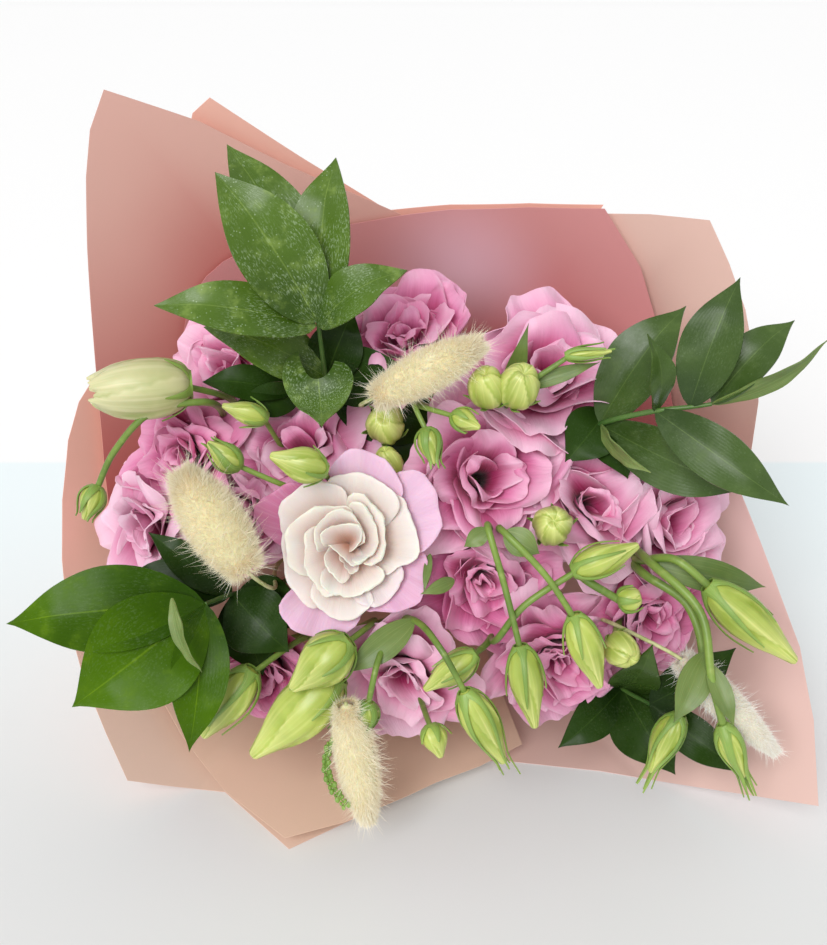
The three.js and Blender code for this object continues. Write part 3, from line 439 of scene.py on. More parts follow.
def lip_petal(middle, lip_out, floor_out, roll, lip, draw):
    """A petal that rises from its floor to the lip that is given, and rolls back over it."""
    a, b, c = draw.uniform(0, 2 * math.pi, 3)
    floor = seen_at((*middle[:2], floor_out))
    crest = through([seen_at((*pixel, lip_out)) for pixel in lip], 12)
    way = way_along(crest)
    heading = np.gradient(crest, way, axis=0)
    outward = np.stack([-heading[:, 1], heading[:, 0]], axis=1)
    outward = outward * np.sign(np.sum(outward * (crest - floor)[:, :2]))
    folds = CLOSE_FOLDS if floor_out > 1 else 1.0

    def place(q, s):
        mm = (q + 1) / 2 * way[-1]
        lip_x, lip_y, out_x, out_y = (np.interp(mm, way, v) for v in (*crest.T[:2], *outward.T))
        s = 1 - (1 - s) ** 1.4
        rise = np.clip(s / CREST, 0, 1)
        over = ROLL_TURN * np.clip((s - CREST) / (1 - CREST), 0, 1)
        loose = eased(rise, 0.45, 1)
        wave = loose * (
            0.75 * np.sin(0.17 * mm + a) + 0.5 * folds * np.sin(0.43 * mm + b + 2 * s)
            + 0.16 * folds * eased(rise, 0.8, 1) * (np.sin(1.1 * mm + c) + np.sin(1.9 * mm + a))
            + 0.22 * folds * np.sin(13 * q + b + 2 * s) + 0.13 * np.sin(27 * q + c - 2 * s))
        tuck = np.abs(q) ** 9
        reach = (1 - np.cos(0.5 * math.pi * rise)) * (1 - 0.2 * tuck)
        curl = roll * (0.5 + 0.35 * np.sin(0.3 * mm + c)) * (1 - 0.8 * tuck)
        swell = curl * np.sin(over) + 0.5 * wave
        return np.stack([
            floor[0] + (lip_x - floor[0]) * reach + out_x * swell,
            floor[1] + (lip_y - floor[1]) * reach + out_y * swell,
            floor_out + (lip_out - floor_out) * reach ** (0.36 + 0.03 * floor_out)
            - curl * (1 - np.cos(over)) + (0.8 * wave + 0.8 * q - 4.5 * tuck) * loose,
        ], axis=1)

    return place


# The middle of a bloom's face, its radius, the way that it looks (degrees out of the straight
# view, and the side, from 0 at the right over 90 at the top), its turn, petals and paleness.
BLOOMS = {
    "bloom_cream": ((350, 544, 34), 38, 4, 270, 15, FULL_BLOOM, 0),
    "bloom_centre": ((490, 474, 16), 36, 12, 30, 75, HOLLOW, 0.45),
    "bloom_top_right": ((556, 362, 2), 37, 28, 55, 10, LOOSE, 0.7),
    "bloom_top": ((405, 326, -4), 34, 28, 95, 40, RUFFLED, 0.2),
    "bloom_top_left": ((222, 362, -24), 29, 32, 135, 0, LOOSE, 0.6),
    "bloom_upper_left": ((300, 438, 0), 33, 24, 110, 55, HOLLOW, 0.45),
    "bloom_left": ((170, 452, -8), 30, 28, 160, 25, RUFFLED, 0.0),
    "bloom_far_left": ((132, 528, -19), 30, 40, 190, 30, LOOSE, 1.0),
    "bloom_inner_left": ((236, 512, -6), 28, 18, 190, 15, RUFFLED, 0.5),
    "bloom_right": ((604, 504, 2), 33, 20, 10, 50, LOOSE, 0.6),
    "bloom_far_right": ((684, 518, -16), 34, 32, 5, 30, LOOSE, 0.8),
    "bloom_ruffled": ((482, 588, 6), 32, 12, 280, 65, RUFFLED, 0.0),
    "bloom_low_right": ((664, 622, -14), 29, 28, 320, 5, RUFFLED, 0.1),
    "bloom_low_centre": ((563, 669, -3), 32, 24, 300, 35, RUFFLED, 0.3),
    "bloom_bottom": ((402, 690, 2), 31, 24, 268, 45, LOOSE, 0.8),
    "bloom_low_left": ((258, 686, -18), 28, 32, 235, 70, RUFFLED, 0.0),
}


def bloom_frame(bloom):
    """The turn of a bloom, its foot and its size."""
    middle, radius, lean, toward = bloom[:4]
    lean, toward = math.radians(lean), math.radians(toward)
    axis = Vector((
        math.sin(lean) * math.cos(toward), math.sin(lean) * math.sin(toward), math.cos(lean)))
    size = radius / BLOOM_RADIUS
    turn = np.array(Vector((0, 0, 1)).rotation_difference(axis).to_matrix())
    return turn, seen_at(middle) - np.array(axis) * HEART_HEIGHT * size, size


def petal_skin(name, **fixed):
    """A soft petal's finish, with its tint, the share out along it, its streaks and clouds."""
    material, shader, place, along, tint = new_finish(
        name, Roughness=0.5, Subsurface_Weight=0.25, Subsurface_Scale=0.004,
        Sheen_Weight=0.2, Sheen_Roughness=0.4, **fixed)
    streaks = along.scaled((34, 2.2, 1)).noise(1.0, 4.0, 0.6)
    return material, shader, tint, along.parts()[1], streaks, place.noise(60, 2.0)


pink_petals, shader, tint, out, streaks, clouds = petal_skin(
    "pink petal", Subsurface_Radius=(1.0, 0.45, 0.6))
# Painted shade: near black at each petal's foot and deep magenta low on it, darkening the bloom's
# recesses.
throat_painted_shade = out.eased(0.12, 0.42).mixed((0.05, 0.028, 0.018), (0.40, 0.02, 0.11))
body = out.eased(0.4, 0.85) * 0.9 + streaks.eased(0.35, 0.7) * 0.2
# Lighter towards the lip: partly each bloom's own paleness, from its tint, and partly painted light
# through the thin lip.
lip = (out.eased(0.6, 0.95) * 0.45 + tint * 0.8 * out.eased(0.35, 0.7)
       + clouds.eased(0.4, 0.7) * 0.15)
petal = lip.eased(0.05, 1.15).mixed(body.mixed(throat_painted_shade, (0.80, 0.20, 0.42)), (0.95, 0.56, 0.73))
feed(shader, Base_Color=petal, Normal=(streaks * 0.9 + clouds * 0.6).bump(0.6, 0.0007))

cream_petals, shader, tint, out, streaks, clouds = petal_skin("cream petal")
pink = tint.eased(-1.0, 0.1).mixed((0.55, 0.12, 0.28), (0.79, 0.45, 0.61))
pink = (streaks.eased(0.4, 0.8) * 0.22).mixed(pink, (0.88, 0.62, 0.76))
blush = (1 - tint.eased(0.1, 0.75)) * (
    out.eased(0.3, 0.85) * 0.5 + clouds.eased(0.35, 0.65) * 0.3 + 0.35)
# Painted shade: the cream petals go peach-brown towards their floor, in the recesses between the
# lips, and paler and yellower at the lip.
heart = out.eased(0.3, 0.75).mixed((0.60, 0.34, 0.25), (0.83, 0.69, 0.65))
heart = (out.eased(0.62, 0.86) * tint.eased(0.45, 1.0)).mixed(heart, (0.88, 0.81, 0.68))
feed(shader, Base_Color=blush.eased(0.1, 0.9).mixed(heart, pink),
     Normal=(streaks * 0.6 + clouds * 0.8).bump(0.6, 0.0008))

WHORL_TURN = 47  # degrees that each whorl is turned against the one outside it
FULL_FRILL, SMOOTH_FRILL = 0.8, 0.35

petal_blank = blank(*PETAL_GRID)
for order, (name, bloom) in enumerate(BLOOMS.items()):
    draw = np.random.default_rng(40 + order)
    turn, foot, size = bloom_frame(bloom)
    roll, whorls, pale = bloom[4:]
    petals = []
    if whorls is FULL_BLOOM:
        for cream, *run in whorls:
            petals.append(bent(petal_blank, lip_petal(bloom[0], *run, draw), cream))
        piece = thickened(joined(petals, name + "_petals"), PETAL_THICKNESS)
        on_the_bouquet(piece, name, cream_petals)
        continue
    phases = draw.uniform(0, 2 * math.pi, 6)
    frill = SMOOTH_FRILL if whorls is HOLLOW else FULL_FRILL
    for ring, row in enumerate(whorls):
        count, start, lean_foot, lean_lip, curl, length, width, ruffle, strength = row
        for k in range(count):
            jitter = draw.uniform(-1, 1, 6)
            shape = pressed(petal_places(
                start, lean_foot + 3 * jitter[0], lean_lip + 11 * jitter[1],
                curl * (1 + 0.3 * jitter[2]), length * (1 + 0.05 * jitter[3]),
                width * (1 + 0.1 * jitter[4]), ruffle, frill, jitter[5], 1.0 + 0.05 * ring,
                math.radians(roll + 360 / count * k + WHORL_TURN * ring + 10 * jitter[0]),
                draw.uniform(1.0, 1.9), draw.uniform(0, 2 * math.pi, 3)), phases)
            # Inner whorls are made less pale by their strength: painted shade deeper in the bloom.
            tone = np.clip(pale * 0.8 + 0.18 * jitter[1] - 0.25 * strength, 0, 1)
            petals.append(bent(
                petal_blank, lambda q, s: foot + size * (shape(q, s) @ turn.T), tone))
    piece = thickened(joined(petals, name + "_petals"), PETAL_THICKNESS)
    on_the_bouquet(piece, name, pink_petals)

# ---------------------------------------------------------------- lisianthus stems and buds
# Six branching stems, grown in one with the cups and sepals that hold the blooms, with closed
# buds on thin stalks and with narrow waxy leaves. They are cut off below the tie.

TIE_CENTRE = np.array([7.0, -12.0, -230.0])
TIE_WIDTH = 12.0
CUT_END = np.array([0.0, 28.0, -80.0])
BUNDLE_SPLAY = 1.5
BRANCH_RADIUS = 1.3
LEAF_THICKNESS = 0.45
LEAF_FOLD = 0.22
STEM_RADIUS = 2.4

# A stem's place in the bundle, its fork, its thin stalks' radius and the blooms that it carries.
STEMS = {
    "a": ((3.8, 175), (352, 492, -92), 1.3, ("cream", "upper_left")),
    "b": ((3.8, 60), (470, 412, -88), 1.25, ("centre", "top_right", "top")),
    "c": ((7.9, 155), (222, 448, -96), 1.6, ("top_left", "left", "far_left", "inner_left")),
    "d": ((7.9, 348), (622, 540, -88), 2.0, ("right", "far_right", "low_right")),
    "e": ((3.8, 300), (500, 590, -88), 1.6, ("ruffled", "low_centre")),
    "f": ((7.9, 240), (340, 640, -84), 1.5, ("bottom", "low_left")),
}

# stem, foot, tip, radius, the places that the stalk passes, sepals' length as a share
BUDS = (
    ("a", (268, 419, 8), (222, 405, 12), 5.5, [(300, 470, -30)], 0.5),
    ("a", (327, 471, 40), (270, 455, 46), 8, [(332, 482, 10)], 0.35),
    ("a", (240, 468, 24), (208, 442, 30), 6, [(292, 488, 16)], 0.95),
    ("a", (387, 430, 2), (384, 418, 22), 9, [(380, 450, -40)], 0.5),
    ("a", (392, 476, 8), (384, 449, 15), 6.5, [(372, 500, -24)], 0.3),
    ("b", (490, 402, 28), (484, 372, 42), 8.5, [(500, 410, 0)], 0.3),
    ("b", (513, 400, 28), (525, 371, 44), 9.5, [(504, 408, 8)], 0.3),
    ("b", (426, 428, 40), (434, 464, 42), 5.5, [(428, 408, 0), (414, 404, 36)], 1.05),
    ("b", (452, 415, 40), (480, 428, 44), 5, [(420, 406, 30)], 0.7),
    ("b", (565, 356, 40), (612, 351, 42), 3, [(520, 388, 30)], 0.95),
    ("c", (192, 384, 16), (92, 391, 24), 13, [(232, 400, -10)], 0.3),
    ("c", (98, 486, 10), (84, 520, 12), 6, [(205, 402, 16), (152, 412, 22), (114, 452, 16)], 0.95),
    ("d", (551, 530, 14), (554, 520, 34), 9, [(570, 535, -40)], 0.4),
    ("d", (618, 602, 22), (641, 596, 24), 5.5, [(600, 556, 0), (580, 574, 22)], 0.9),
    ("d", (707, 585, 22), (796, 662, 18), 10.2, [(640, 560, 0), (676, 560, 20)], 0.6),
    ("d", (680, 714, 14), (650, 772, 6), 7.0, [(644, 574, 6), (688, 606, 14), (702, 668, 16)], 1.2),
    ("d", (722, 724, 27), (744, 777, 20), 5.8,
     [(650, 562, 12), (700, 612, 28), (712, 680, 30)], 1.35),
    ("d", (612, 640, 12), (632, 660, 24), 8, [(622, 596, -40)], 0.3),
    ("e", (572, 572, 26), (639, 545, 28), 7.5, [(496, 640, 14), (524, 606, 26)], 0.8),
    ("e", (476, 653, 20), (424, 690, 18), 7, [(488, 642, 4)], 0.7),
    ("e", (520, 645, 26), (535, 728, 20), 8, [(492, 536, 0), (488, 528, 28), (504, 584, 28)], 0.6),
    ("e", (574, 614, 30), (600, 688, 24), 8, [(500, 534, 0), (504, 532, 30), (546, 576, 32)], 0.5),
    ("f", (350, 640, 28), (291, 689, 26), 11.5, [(374, 622, 4)], 0.5),
    ("f", (340, 676, 14), (252, 756, 8), 13, [(352, 652, -10)], 0.4),
    ("f", (253, 669, 10), (203, 737, 4), 10, [(300, 640, -10)], 0.8),
    ("f", (464, 691, 34), (504, 763, 22), 8, [(414, 620, 14), (440, 648, 37)], 1.05),
    ("f", (369, 702, 24), (360, 734, 20), 6, [(384, 640, 10), (376, 668, 26)], 0.9),
    ("f", (430, 724, 16), (441, 758, 18), 6, [(400, 660, -40)], 0.5),
)
OPEN_BUD_TIP = (92, 391, 24)  # of the one bud that is about to open, and cream
# stem, foot, tip, full width, arch
STEM_LEAVES = (
    ("b", (504, 408, 8), (528, 327, 38), 8, 2),
    ("b", (520, 388, 30), (600, 362, 36), 6, 2),
    ("d", (650, 562, 12), (769, 588, 6), 13, 5),
    ("d", (706, 652, 24), (675, 723, 31), 13, 2),
    ("d", (709, 664, 28), (735, 727, 34), 8, 2),
    ("e", (454, 580, 20), (422, 594, 31), 5.5, 1),
    ("e", (430, 554, 20), (424, 592, 28), 3, 0),
    ("e", (504, 532, 30), (540, 554, 30), 11, 2),
    ("e", (488, 529, 28), (464, 547, 28), 7, 1),
    ("f", (414, 620, 14), (344, 674, 20), 12, 4),
)


def ring_place(radius, degrees):
    turn = math.radians(degrees)
    return np.array([radius * math.cos(turn), radius * math.sin(turn), 0.0])


def through_tie(bundle, radius):
    """The lower part of a stem: from its cut end on the table through the tie."""
    slot = ring_place(*bundle)
    end = TIE_CENTRE + CUT_END + BUNDLE_SPLAY * slot
    height = FACE[2] + end[1] * math.cos(RISE) + end[2] * math.sin(RISE)
    lift = max(0.0, radius + 0.1 - height)
    end = end + lift * np.array([0, math.cos(RISE), math.sin(RISE)])
    middle, past = TIE_CENTRE + slot, np.array([0, 0, 0.7 * TIE_WIDTH])
    return [end, middle - past, middle + past]


def stalk(points, radius, end_radius, finish, steps=12, sides=3):
    """A round stalk that tapers from one radius to another."""
    path = placed(through(points, steps))
    line = bpy.data.curves.new("stalk", "CURVE")
    line.dimensions = "3D"
    line.bevel_depth = METRES
    line.bevel_resolution = sides
    line.use_fill_caps = True
    spline = line.splines.new("POLY")
    spline.points.add(len(path) - 1)
    radii = np.linspace(radius, end_radius, len(path))
    for point, place, size in zip(spline.points, path, radii):
        point.co, point.radius = (*place, 1), size
    picked(linked("stalk", line))
    bpy.ops.object.convert(target="MESH")
    made = bpy.context.object
    mesh = made.data
    if "UVMap" not in mesh.uv_layers:
        mesh.uv_layers.new(name="UVMap")
    mesh.attributes.new("tint", "FLOAT", "POINT")
    mesh.materials.clear()
    mesh.materials.append(finish)
    return made


def blade(blank_mesh, place, tint, finish, thickness):
    """A leaf or a sepal, bent and given its thickness."""
    made = bent(blank_mesh, place, tint)
    made.data.materials.append(finish)
    return thickened(made, thickness)


def leaf_places(foot, tip, width, arch, facing=0.0, wave=0.3, peak=0.9, phase=0.0,
                fullness=0.8, ears=0.0):
    """A blade that is folded a little along its rib, arched and waved. Ears reach back past
    its foot."""
    foot, tip = seen_at(foot), seen_at(tip)
    length = np.linalg.norm(tip - foot)
    forward = (tip - foot) / length
    sideways = np.cross([0, 0, 1], forward)
    sideways = sideways / np.linalg.norm(sideways)
    outward = np.cross(forward, sideways)
    turned = math.radians(facing)
    sideways, outward = (sideways * math.cos(turned) + outward * math.sin(turned),
                         outward * math.cos(turned) - sideways * math.sin(turned))

    def place(q, s):
        full = fullness + (fullness - 0.3) * s * s  # fuller near the foot than near the tip
        half = 0.55 * width * np.sin(math.pi * np.clip(s, 0, 1) ** peak) ** full
        half = half + (0.35 + 0.9 * ears * width) * (1 - s) ** 2
        reach = length * (s - 1.1 * ears * np.abs(q) ** 3 * (1 - s) ** 2 * (1 - 0.35 * q))
        fold = LEAF_FOLD * half * (np.sqrt(q * q + 0.02) - 0.14)
        ripple = (np.sin(9 * s + 2 * np.sign(q) + phase) * q * q
                  + 0.35 * np.sin(21 * s + 4 * q + phase) * np.abs(q))
        lift = fold + arch * np.sin(math.pi * s) + wave * ripple * np.sin(math.pi * s)
        lift = lift - 0.06 * length * eased(s, 0.72, 1.0)
        return (foot + np.outer(reach, forward) + np.outer(half * q, sideways)
                + np.outer(lift, outward))

    return place


def green_finish(name, shade, body, bright, roughness=0.42):
    """Waxy green skin: lighter cloudy patches and fine lines along it."""
    material, shader, place, along, tint = new_finish(
        name, Roughness=roughness, Subsurface_Weight=0.08, Subsurface_Scale=0.002)
    lines = along.scaled((26, 1.2, 1)).noise(1.0, 3.0)
    clouds = place.noise(45, 3.0)
    green = clouds.eased(0.3, 0.7).mixed(shade, body)
    light = (lines.eased(0.45, 0.75) * 0.5 + tint * 0.8).eased(0, 1.1)
    feed(shader, Base_Color=light.mixed(green, bright),
         Normal=(lines + clouds * 0.5).bump(0.25, 0.0005))
    return material


stem_finish = green_finish("green stalk", (0.11, 0.19, 0.03), (0.21, 0.32, 0.055),
                           (0.37, 0.45, 0.13))
bud_finish = green_finish("bud petals", (0.28, 0.37, 0.05), (0.45, 0.54, 0.10),
                          (0.70, 0.72, 0.26), 0.36)
cream_bud_finish = green_finish("cream bud petals", (0.30, 0.36, 0.10), (0.53, 0.52, 0.25),
                                (0.72, 0.68, 0.41))
sepal_finish = green_finish("sepals", (0.13, 0.25, 0.035), (0.24, 0.38, 0.065),
                            (0.36, 0.48, 0.12))
narrow_leaf_finish = green_finish("narrow leaf", (0.08, 0.14, 0.025), (0.15, 0.22, 0.05),
                                  (0.30, 0.37, 0.13))

deselect()
bpy.ops.mesh.primitive_uv_sphere_add(segments=50, ring_count=30, radius=1)
bud_blank = kept_mesh()
sepal_blank = blank(4, 12)
leaf_blank = blank(10, 24)


def line_frame(foot, tip):
    """Length, direction and two sides of a line."""
    length = np.linalg.norm(tip - foot)
    forward = (tip - foot) / length
    sideways = np.cross(forward, [0.3, 1, 0.2])
    sideways = sideways / np.linalg.norm(sideways)
    return length, forward, sideways, np.cross(forward, sideways)


def round_line(foot, frame_of_line, along, out, angle):
    """Places round a line: the share along it, the distance out from it and the angle."""
    length, forward, sideways, upward = frame_of_line
    return (foot + np.outer(along * length, forward) + np.outer(out * np.cos(angle), sideways)
            + np.outer(out * np.sin(angle), upward))


BUD_GIRTH = 0.9  # the CAD bud is five-sided, and this is near its mean radius
SLIM_FROM = 2.6  # a bud longer than this many radii has the slim form

# Shares of a bud's length and radius, from its foot over its furled lip into the dent at its tip.
SLIM_BUD = ((0, 0), (0.03, 0.4), (0.12, 0.74), (0.28, 0.97), (0.42, 1.0), (0.6, 0.83),
            (0.78, 0.53), (0.92, 0.31), (0.99, 0.2), (0.99, 0.1), (0.95, 0))
FULL_BUD = ((0, 0), (0.04, 0.5), (0.14, 0.84), (0.34, 1.0), (0.56, 1.0), (0.76, 0.88),
            (0.9, 0.7), (0.98, 0.5), (0.99, 0.3), (0.93, 0.12), (0.9, 0))
OPEN_BUD = ((0, 0), (0.03, 0.5), (0.12, 0.86), (0.3, 1.08), (0.52, 1.12), (0.74, 1.0),
            (0.89, 0.78), (0.98, 0.56), (1.0, 0.46), (0.92, 0.34), (0.84, 0))
DENT_POINTS = 16  # of a bud's outline, past its lip, where no sepal lies


def bud_outline(kind):
    """How far along and how far out a bud's skin is, against the share of its way to the tip."""
    curve = through([(along, out, 0) for along, out in kind], 8)
    way = way_along(curve)
    return way / way[-1], curve[:, 0], np.maximum(curve[:, 1], 0)


def bud(foot, tip, radius, sepals, draw):
    """A bud's furled body, with five sepals on it."""
    opening = tip == OPEN_BUD_TIP
    radius = radius * BUD_GIRTH
    foot, tip = seen_at(foot), seen_at(tip)
    line = line_frame(foot, tip)
    slim = line[0] > SLIM_FROM * radius
    shares, alongs, outs = bud_outline(OPEN_BUD if opening else SLIM_BUD if slim else FULL_BUD)
    flat = flat_places(bud_blank)
    share = np.arccos(np.clip(-flat[:, 2], -1, 1)) / math.pi
    s = np.interp(share, shares, alongs)
    angle = np.arctan2(flat[:, 1], flat[:, 0])
    phase = draw.uniform(0, 6)
    furl = np.mod(5 * angle / (2 * math.pi) + 1.5 * share + phase, 1)
    closing = eased(share, 0.12, 0.5)
    depth = 0.06 if opening else 0.11
    pleats = 1 + (depth * (furl ** 0.7 - 0.55) + 0.05 * np.cos(3 * angle + phase)) * closing
    pleats = pleats + 0.15 * depth * np.cos(11 * angle + 5 * share + phase)
    out = radius * np.interp(share, shares, outs) * pleats
    # Lighter over each furled petal and towards the tip, and dark at each seam: painted shade in
    # the crease.
    tone = (4.4 * depth * furl * closing + 0.35 * eased(s, 0.35, 1)
            - 3 * depth * (furl < 0.12) * closing)
    if opening:
        tone = tone + 0.3
        ragged = 0.04 * np.sin(5 * angle + phase) + 0.025 * np.sin(13 * angle)
        s = s + ragged * eased(share, 0.66, 0.86)
    made = shaped(bud_blank, round_line(foot, line, s, out, angle), np.clip(tone, 0, 1))
    made.data.materials.append(cream_bud_finish if opening else bud_finish)
    parts = [made]
    broad = 0.40 if radius < 6 else 0.17
    for k in range(5):
        around = 2 * math.pi * k / 5 + phase
        reach = sepals * draw.uniform(0.85, 1.15)
        flare = draw.uniform(0.2, 2.2)

        def place(q, t):
            along = t * reach
            on_skin = np.interp(
                np.clip(along, 0.02, 0.93), alongs[:-DENT_POINTS], outs[:-DENT_POINTS])
            skin = radius * on_skin * 1.06 + 0.35 + flare * t**3
            width = radius * (broad * (1 - t) ** 0.8 + 0.4 * np.clip(1 - 9 * t, 0, 1)) + 0.12
            turn = around + 0.5 * along + width * q / np.maximum(skin, 0.9)
            return round_line(foot, line, along, skin + 0.3 * (1 - q * q), turn)

        parts.append(blade(sepal_blank, place, 0.3, sepal_finish, LEAF_THICKNESS))
    return parts


FORK_SHARE = 0.02  # how far under its fork a stem's branches begin
BRANCH_RUN = 16  # millimetres that a branch runs straight under its bloom
CUP_SEAT = 1.6  # and where it ends, under the petals
BUD_SEAT = 0.12  # the share of a bud that its stalk runs into it
STEM_TAPER = 0.85

for order, (name, (bundle, fork, thin, blooms)) in enumerate(STEMS.items()):
    draw = np.random.default_rng(400 + order)
    lower = through_tie(bundle, STEM_RADIUS)
    node = seen_at(fork)
    start = node + FORK_SHARE * (lower[2] - node)
    parts = [stalk([*lower, node], STEM_RADIUS, STEM_RADIUS * STEM_TAPER, stem_finish, 14, 4)]
    for bloom in blooms:
        turn, foot, size = bloom_frame(BLOOMS["bloom_" + bloom])
        axis = turn[:, 2]
        parts.append(stalk([start, foot - BRANCH_RUN * axis, foot - CUP_SEAT * axis],
                           BRANCH_RADIUS, BRANCH_RADIUS, stem_finish))
        for k in range(5):

            def place(q, t):
                radius = 1.2 + 5.5 * t + 3 * t * t
                width = 2.3 * np.sin(math.pi * (0.15 + 0.85 * t) ** 0.8) ** 0.9 + 0.15
                swing = 2 * math.pi * k / 5 + width * q / radius
                own = [radius * np.cos(swing), radius * np.sin(swing), 13 * t - 5]
                return foot + np.stack(own, axis=1) @ turn.T

            parts.append(blade(sepal_blank, place, 0.2, sepal_finish, LEAF_THICKNESS))
    for stem, foot, tip, radius, way, sepals in BUDS:
        if stem == name:
            inside = seen_at(foot) + BUD_SEAT * (seen_at(tip) - seen_at(foot))
            parts.append(stalk([start, *map(seen_at, way), inside],
                               thin * 1.05, thin * STEM_TAPER, stem_finish))
            parts += bud(foot, tip, radius, sepals, draw)
    for stem, foot, tip, width, arch in STEM_LEAVES:
        if stem == name:
            place = leaf_places(foot, tip, width, arch, peak=0.85)
            tint = draw.uniform(0, 0.3)
            parts.append(blade(leaf_blank, place, tint, narrow_leaf_finish, LEAF_THICKNESS))
    on_the_bouquet(joined(parts, "stem_" + name), "lisianthus_stem_" + name)

# ---------------------------------------------------------------- ruscus
# Four sprays of ruscus: a woody twig, and thick leathery leaves that shine and are marked with
# fine pale flecks. The leaves are folded a little along the rib.

# A spray's place in the bundle, the places that its twig passes, and each leaf's foot, tip,
# width, arch and turn about its own length. The one leaf that arches back is the broad saddle.
RUSCUS = {
    "ruscus_top_left": ((7.9, 126), [(336, 420, -70), (326, 378, -4), (318, 322, 26)], [
        ((318, 322, 26), (217, 171, 48), 31, 7, 12),
        ((320, 320, 22), (229, 140, 24), 28, 5, 20),
        ((321, 322, 24), (332, 156, 30), 26, 5, -20),
        ((319, 326, 26), (404, 268, 42), 20, 6, -25),
        ((316, 326, 26), (155, 302, 44), 21, 6, 15),
        ((326, 378, -4), (206, 324, 14), 24, 6, 25),
        ((318, 379, 18), (321, 425, 34), 20, -5, 0),
        ((326, 378, -8), (352, 312, 6), 22, 3, 0),
        ((290, 392, -2), (203, 380, 6), 15, 3, 20),
        ((300, 396, -6), (238, 402, 6), 14, 3, -10),
        ((330, 384, -10), (404, 368, 5), 24, 3, 0),
        ((330, 386, -12), (446, 432, -14), 30, 3, 0),
        ((331, 392, -20), (424, 486, -14), 30, 3, 0),
    ]),
    "ruscus_right": ((7.9, 20), [
        (584, 452, -70), (600, 424, 0), (655, 411, 18), (690, 407, 23), (712, 404, 26)], [
        ((600, 424, 0), (684, 304, 10), 26, 5, -25),
        ((655, 411, 18), (651, 335, 34), 12, 5, 30),
        ((690, 407, 23), (739, 277, 36), 23, 5, -20),
        ((712, 404, 26), (794, 318, 30), 18, 5, -25),
        ((712, 404, 26), (830, 345, 44), 7.5, 4, 40),
        ((655, 411, 18), (789, 506, 34), 20, 6, 10),
        ((600, 424, 0), (754, 493, 14), 24, 6, 25),
        ((600, 424, 0), (646, 474, 26), 7, 3, 60),
        ((606, 412, -4), (566, 462, 5), 22, 3, 0),
        ((606, 418, -6), (628, 478, 2), 20, 3, 0),
    ]),
    "ruscus_left": ((7.9, 208), [(268, 590, -70), (232, 594, -4), (205, 604, 22)], [
        ((205, 604, 22), (4, 622, 34), 33, 6, 15),
        ((205, 604, 22), (72, 708, 40), 42, 5, -5),
        ((205, 604, 22), (190, 753, 30), 22, 5, -15),
        ((232, 594, -4), (118, 580, -6), 22, 4, 20),
        ((232, 594, -4), (288, 652, 4), 28, 3, 0),
        ((232, 594, -4), (148, 532, 4), 15, 3, 10),
        ((240, 590, -14), (262, 676, -10), 26, 3, 0),
        ((240, 590, -14), (306, 622, -4), 24, 3, 0),
        ((172, 598, 44), (199, 674, 40), 6, 3, 35),
    ]),
    "ruscus_low_right": ((7.9, 296), [(590, 648, -74), (622, 688, -30), (650, 704, -12)], [
        ((622, 688, -30), (652, 652, 18), 20, 4, 0),
        ((650, 704, -12), (736, 650, 2), 20, 4, 0),
        ((622, 688, -30), (674, 774, -8), 28, 4, 10),
        ((650, 704, -12), (744, 774, 0), 16, 4, 0),
        ((622, 688, -30), (560, 748, -16), 18, 3, 0),
    ]),
}
TWIG_RADIUS = 1.9
TWIG_END = 0.9
RUSCUS_THICKNESS = 0.6
NARROW = 8  # a leaf under this width is as pale as the stems' own
SHADED_BELOW = 6  # a leaf whose tip is no further out than this lies in shade, unless it is
SHADED_FROM = 12  # no wider than this


def ruscus_finish(name, shade, body, bright, flecks, gloss=0.3):
    """Leathery leaf: dark at its foot, which is painted shade, lighter at its rib, veined, mottled
    and flecked.
    """
    material, shader, place, along, tint = new_finish(
        name, Roughness=0.3, Specular_IOR_Level=gloss)
    across, out, _ = along.parts()
    rib = across.math("ABSOLUTE", across - 0.5)
    veins = across.math("SINE", across * 110) * 0.5 + 0.5
    veins = veins * rib.eased(0.0, 0.06) * place.noise(70, 2.0)
    mottle = place.noise(110, 4.0, 0.65)
    patches = place.noise(28, 2.0)
    # Darker towards each leaf's foot and a little lighter towards its tip: painted shade.
    green = (patches.eased(0.3, 0.7) * 0.4 + out.eased(0.0, 0.5) * 0.4 + veins * 0.08
             + tint * 0.4 - 0.06)
    green = green.eased(0, 1).mixed(shade, body)
    light = (mottle.eased(0.45, 0.75) * (0.25 + flecks) + (1 - rib.eased(0.0, 0.02)) * 0.5
             + out.eased(0.4, 1.0) * 0.15)
    green = light.eased(0, 1.1).mixed(green, bright)
    specks = place.node(
        "ShaderNodeTexVoronoi", {"feature": "F1"}, {"Vector": place, "Scale": 620.0})
    wax = along.scaled((50, 34, 1)).noise(1.0, 3.0, 0.65).eased(0.52, 0.62)
    wax = wax * place.noise(70, 2.0).eased(0.36, 0.6) * (1.1 - out.eased(0.2, 1.0) * 0.5)
    speckle = (1 - specks.eased(0.08, 0.26)) * place.noise(170, 2.0).eased(0.42, 0.62)
    speckle = speckle.math("MAXIMUM", speckle, wax * 0.75) * flecks
    feed(shader, Base_Color=speckle.mixed(green, (0.44, 0.56, 0.36)),
         Roughness=mottle.eased(0.3, 0.8) * 0.22 + 0.24,
         Normal=(veins * 0.1 + mottle * 0.5 + patches * 1.5).bump(0.35, 0.0006))
    return material


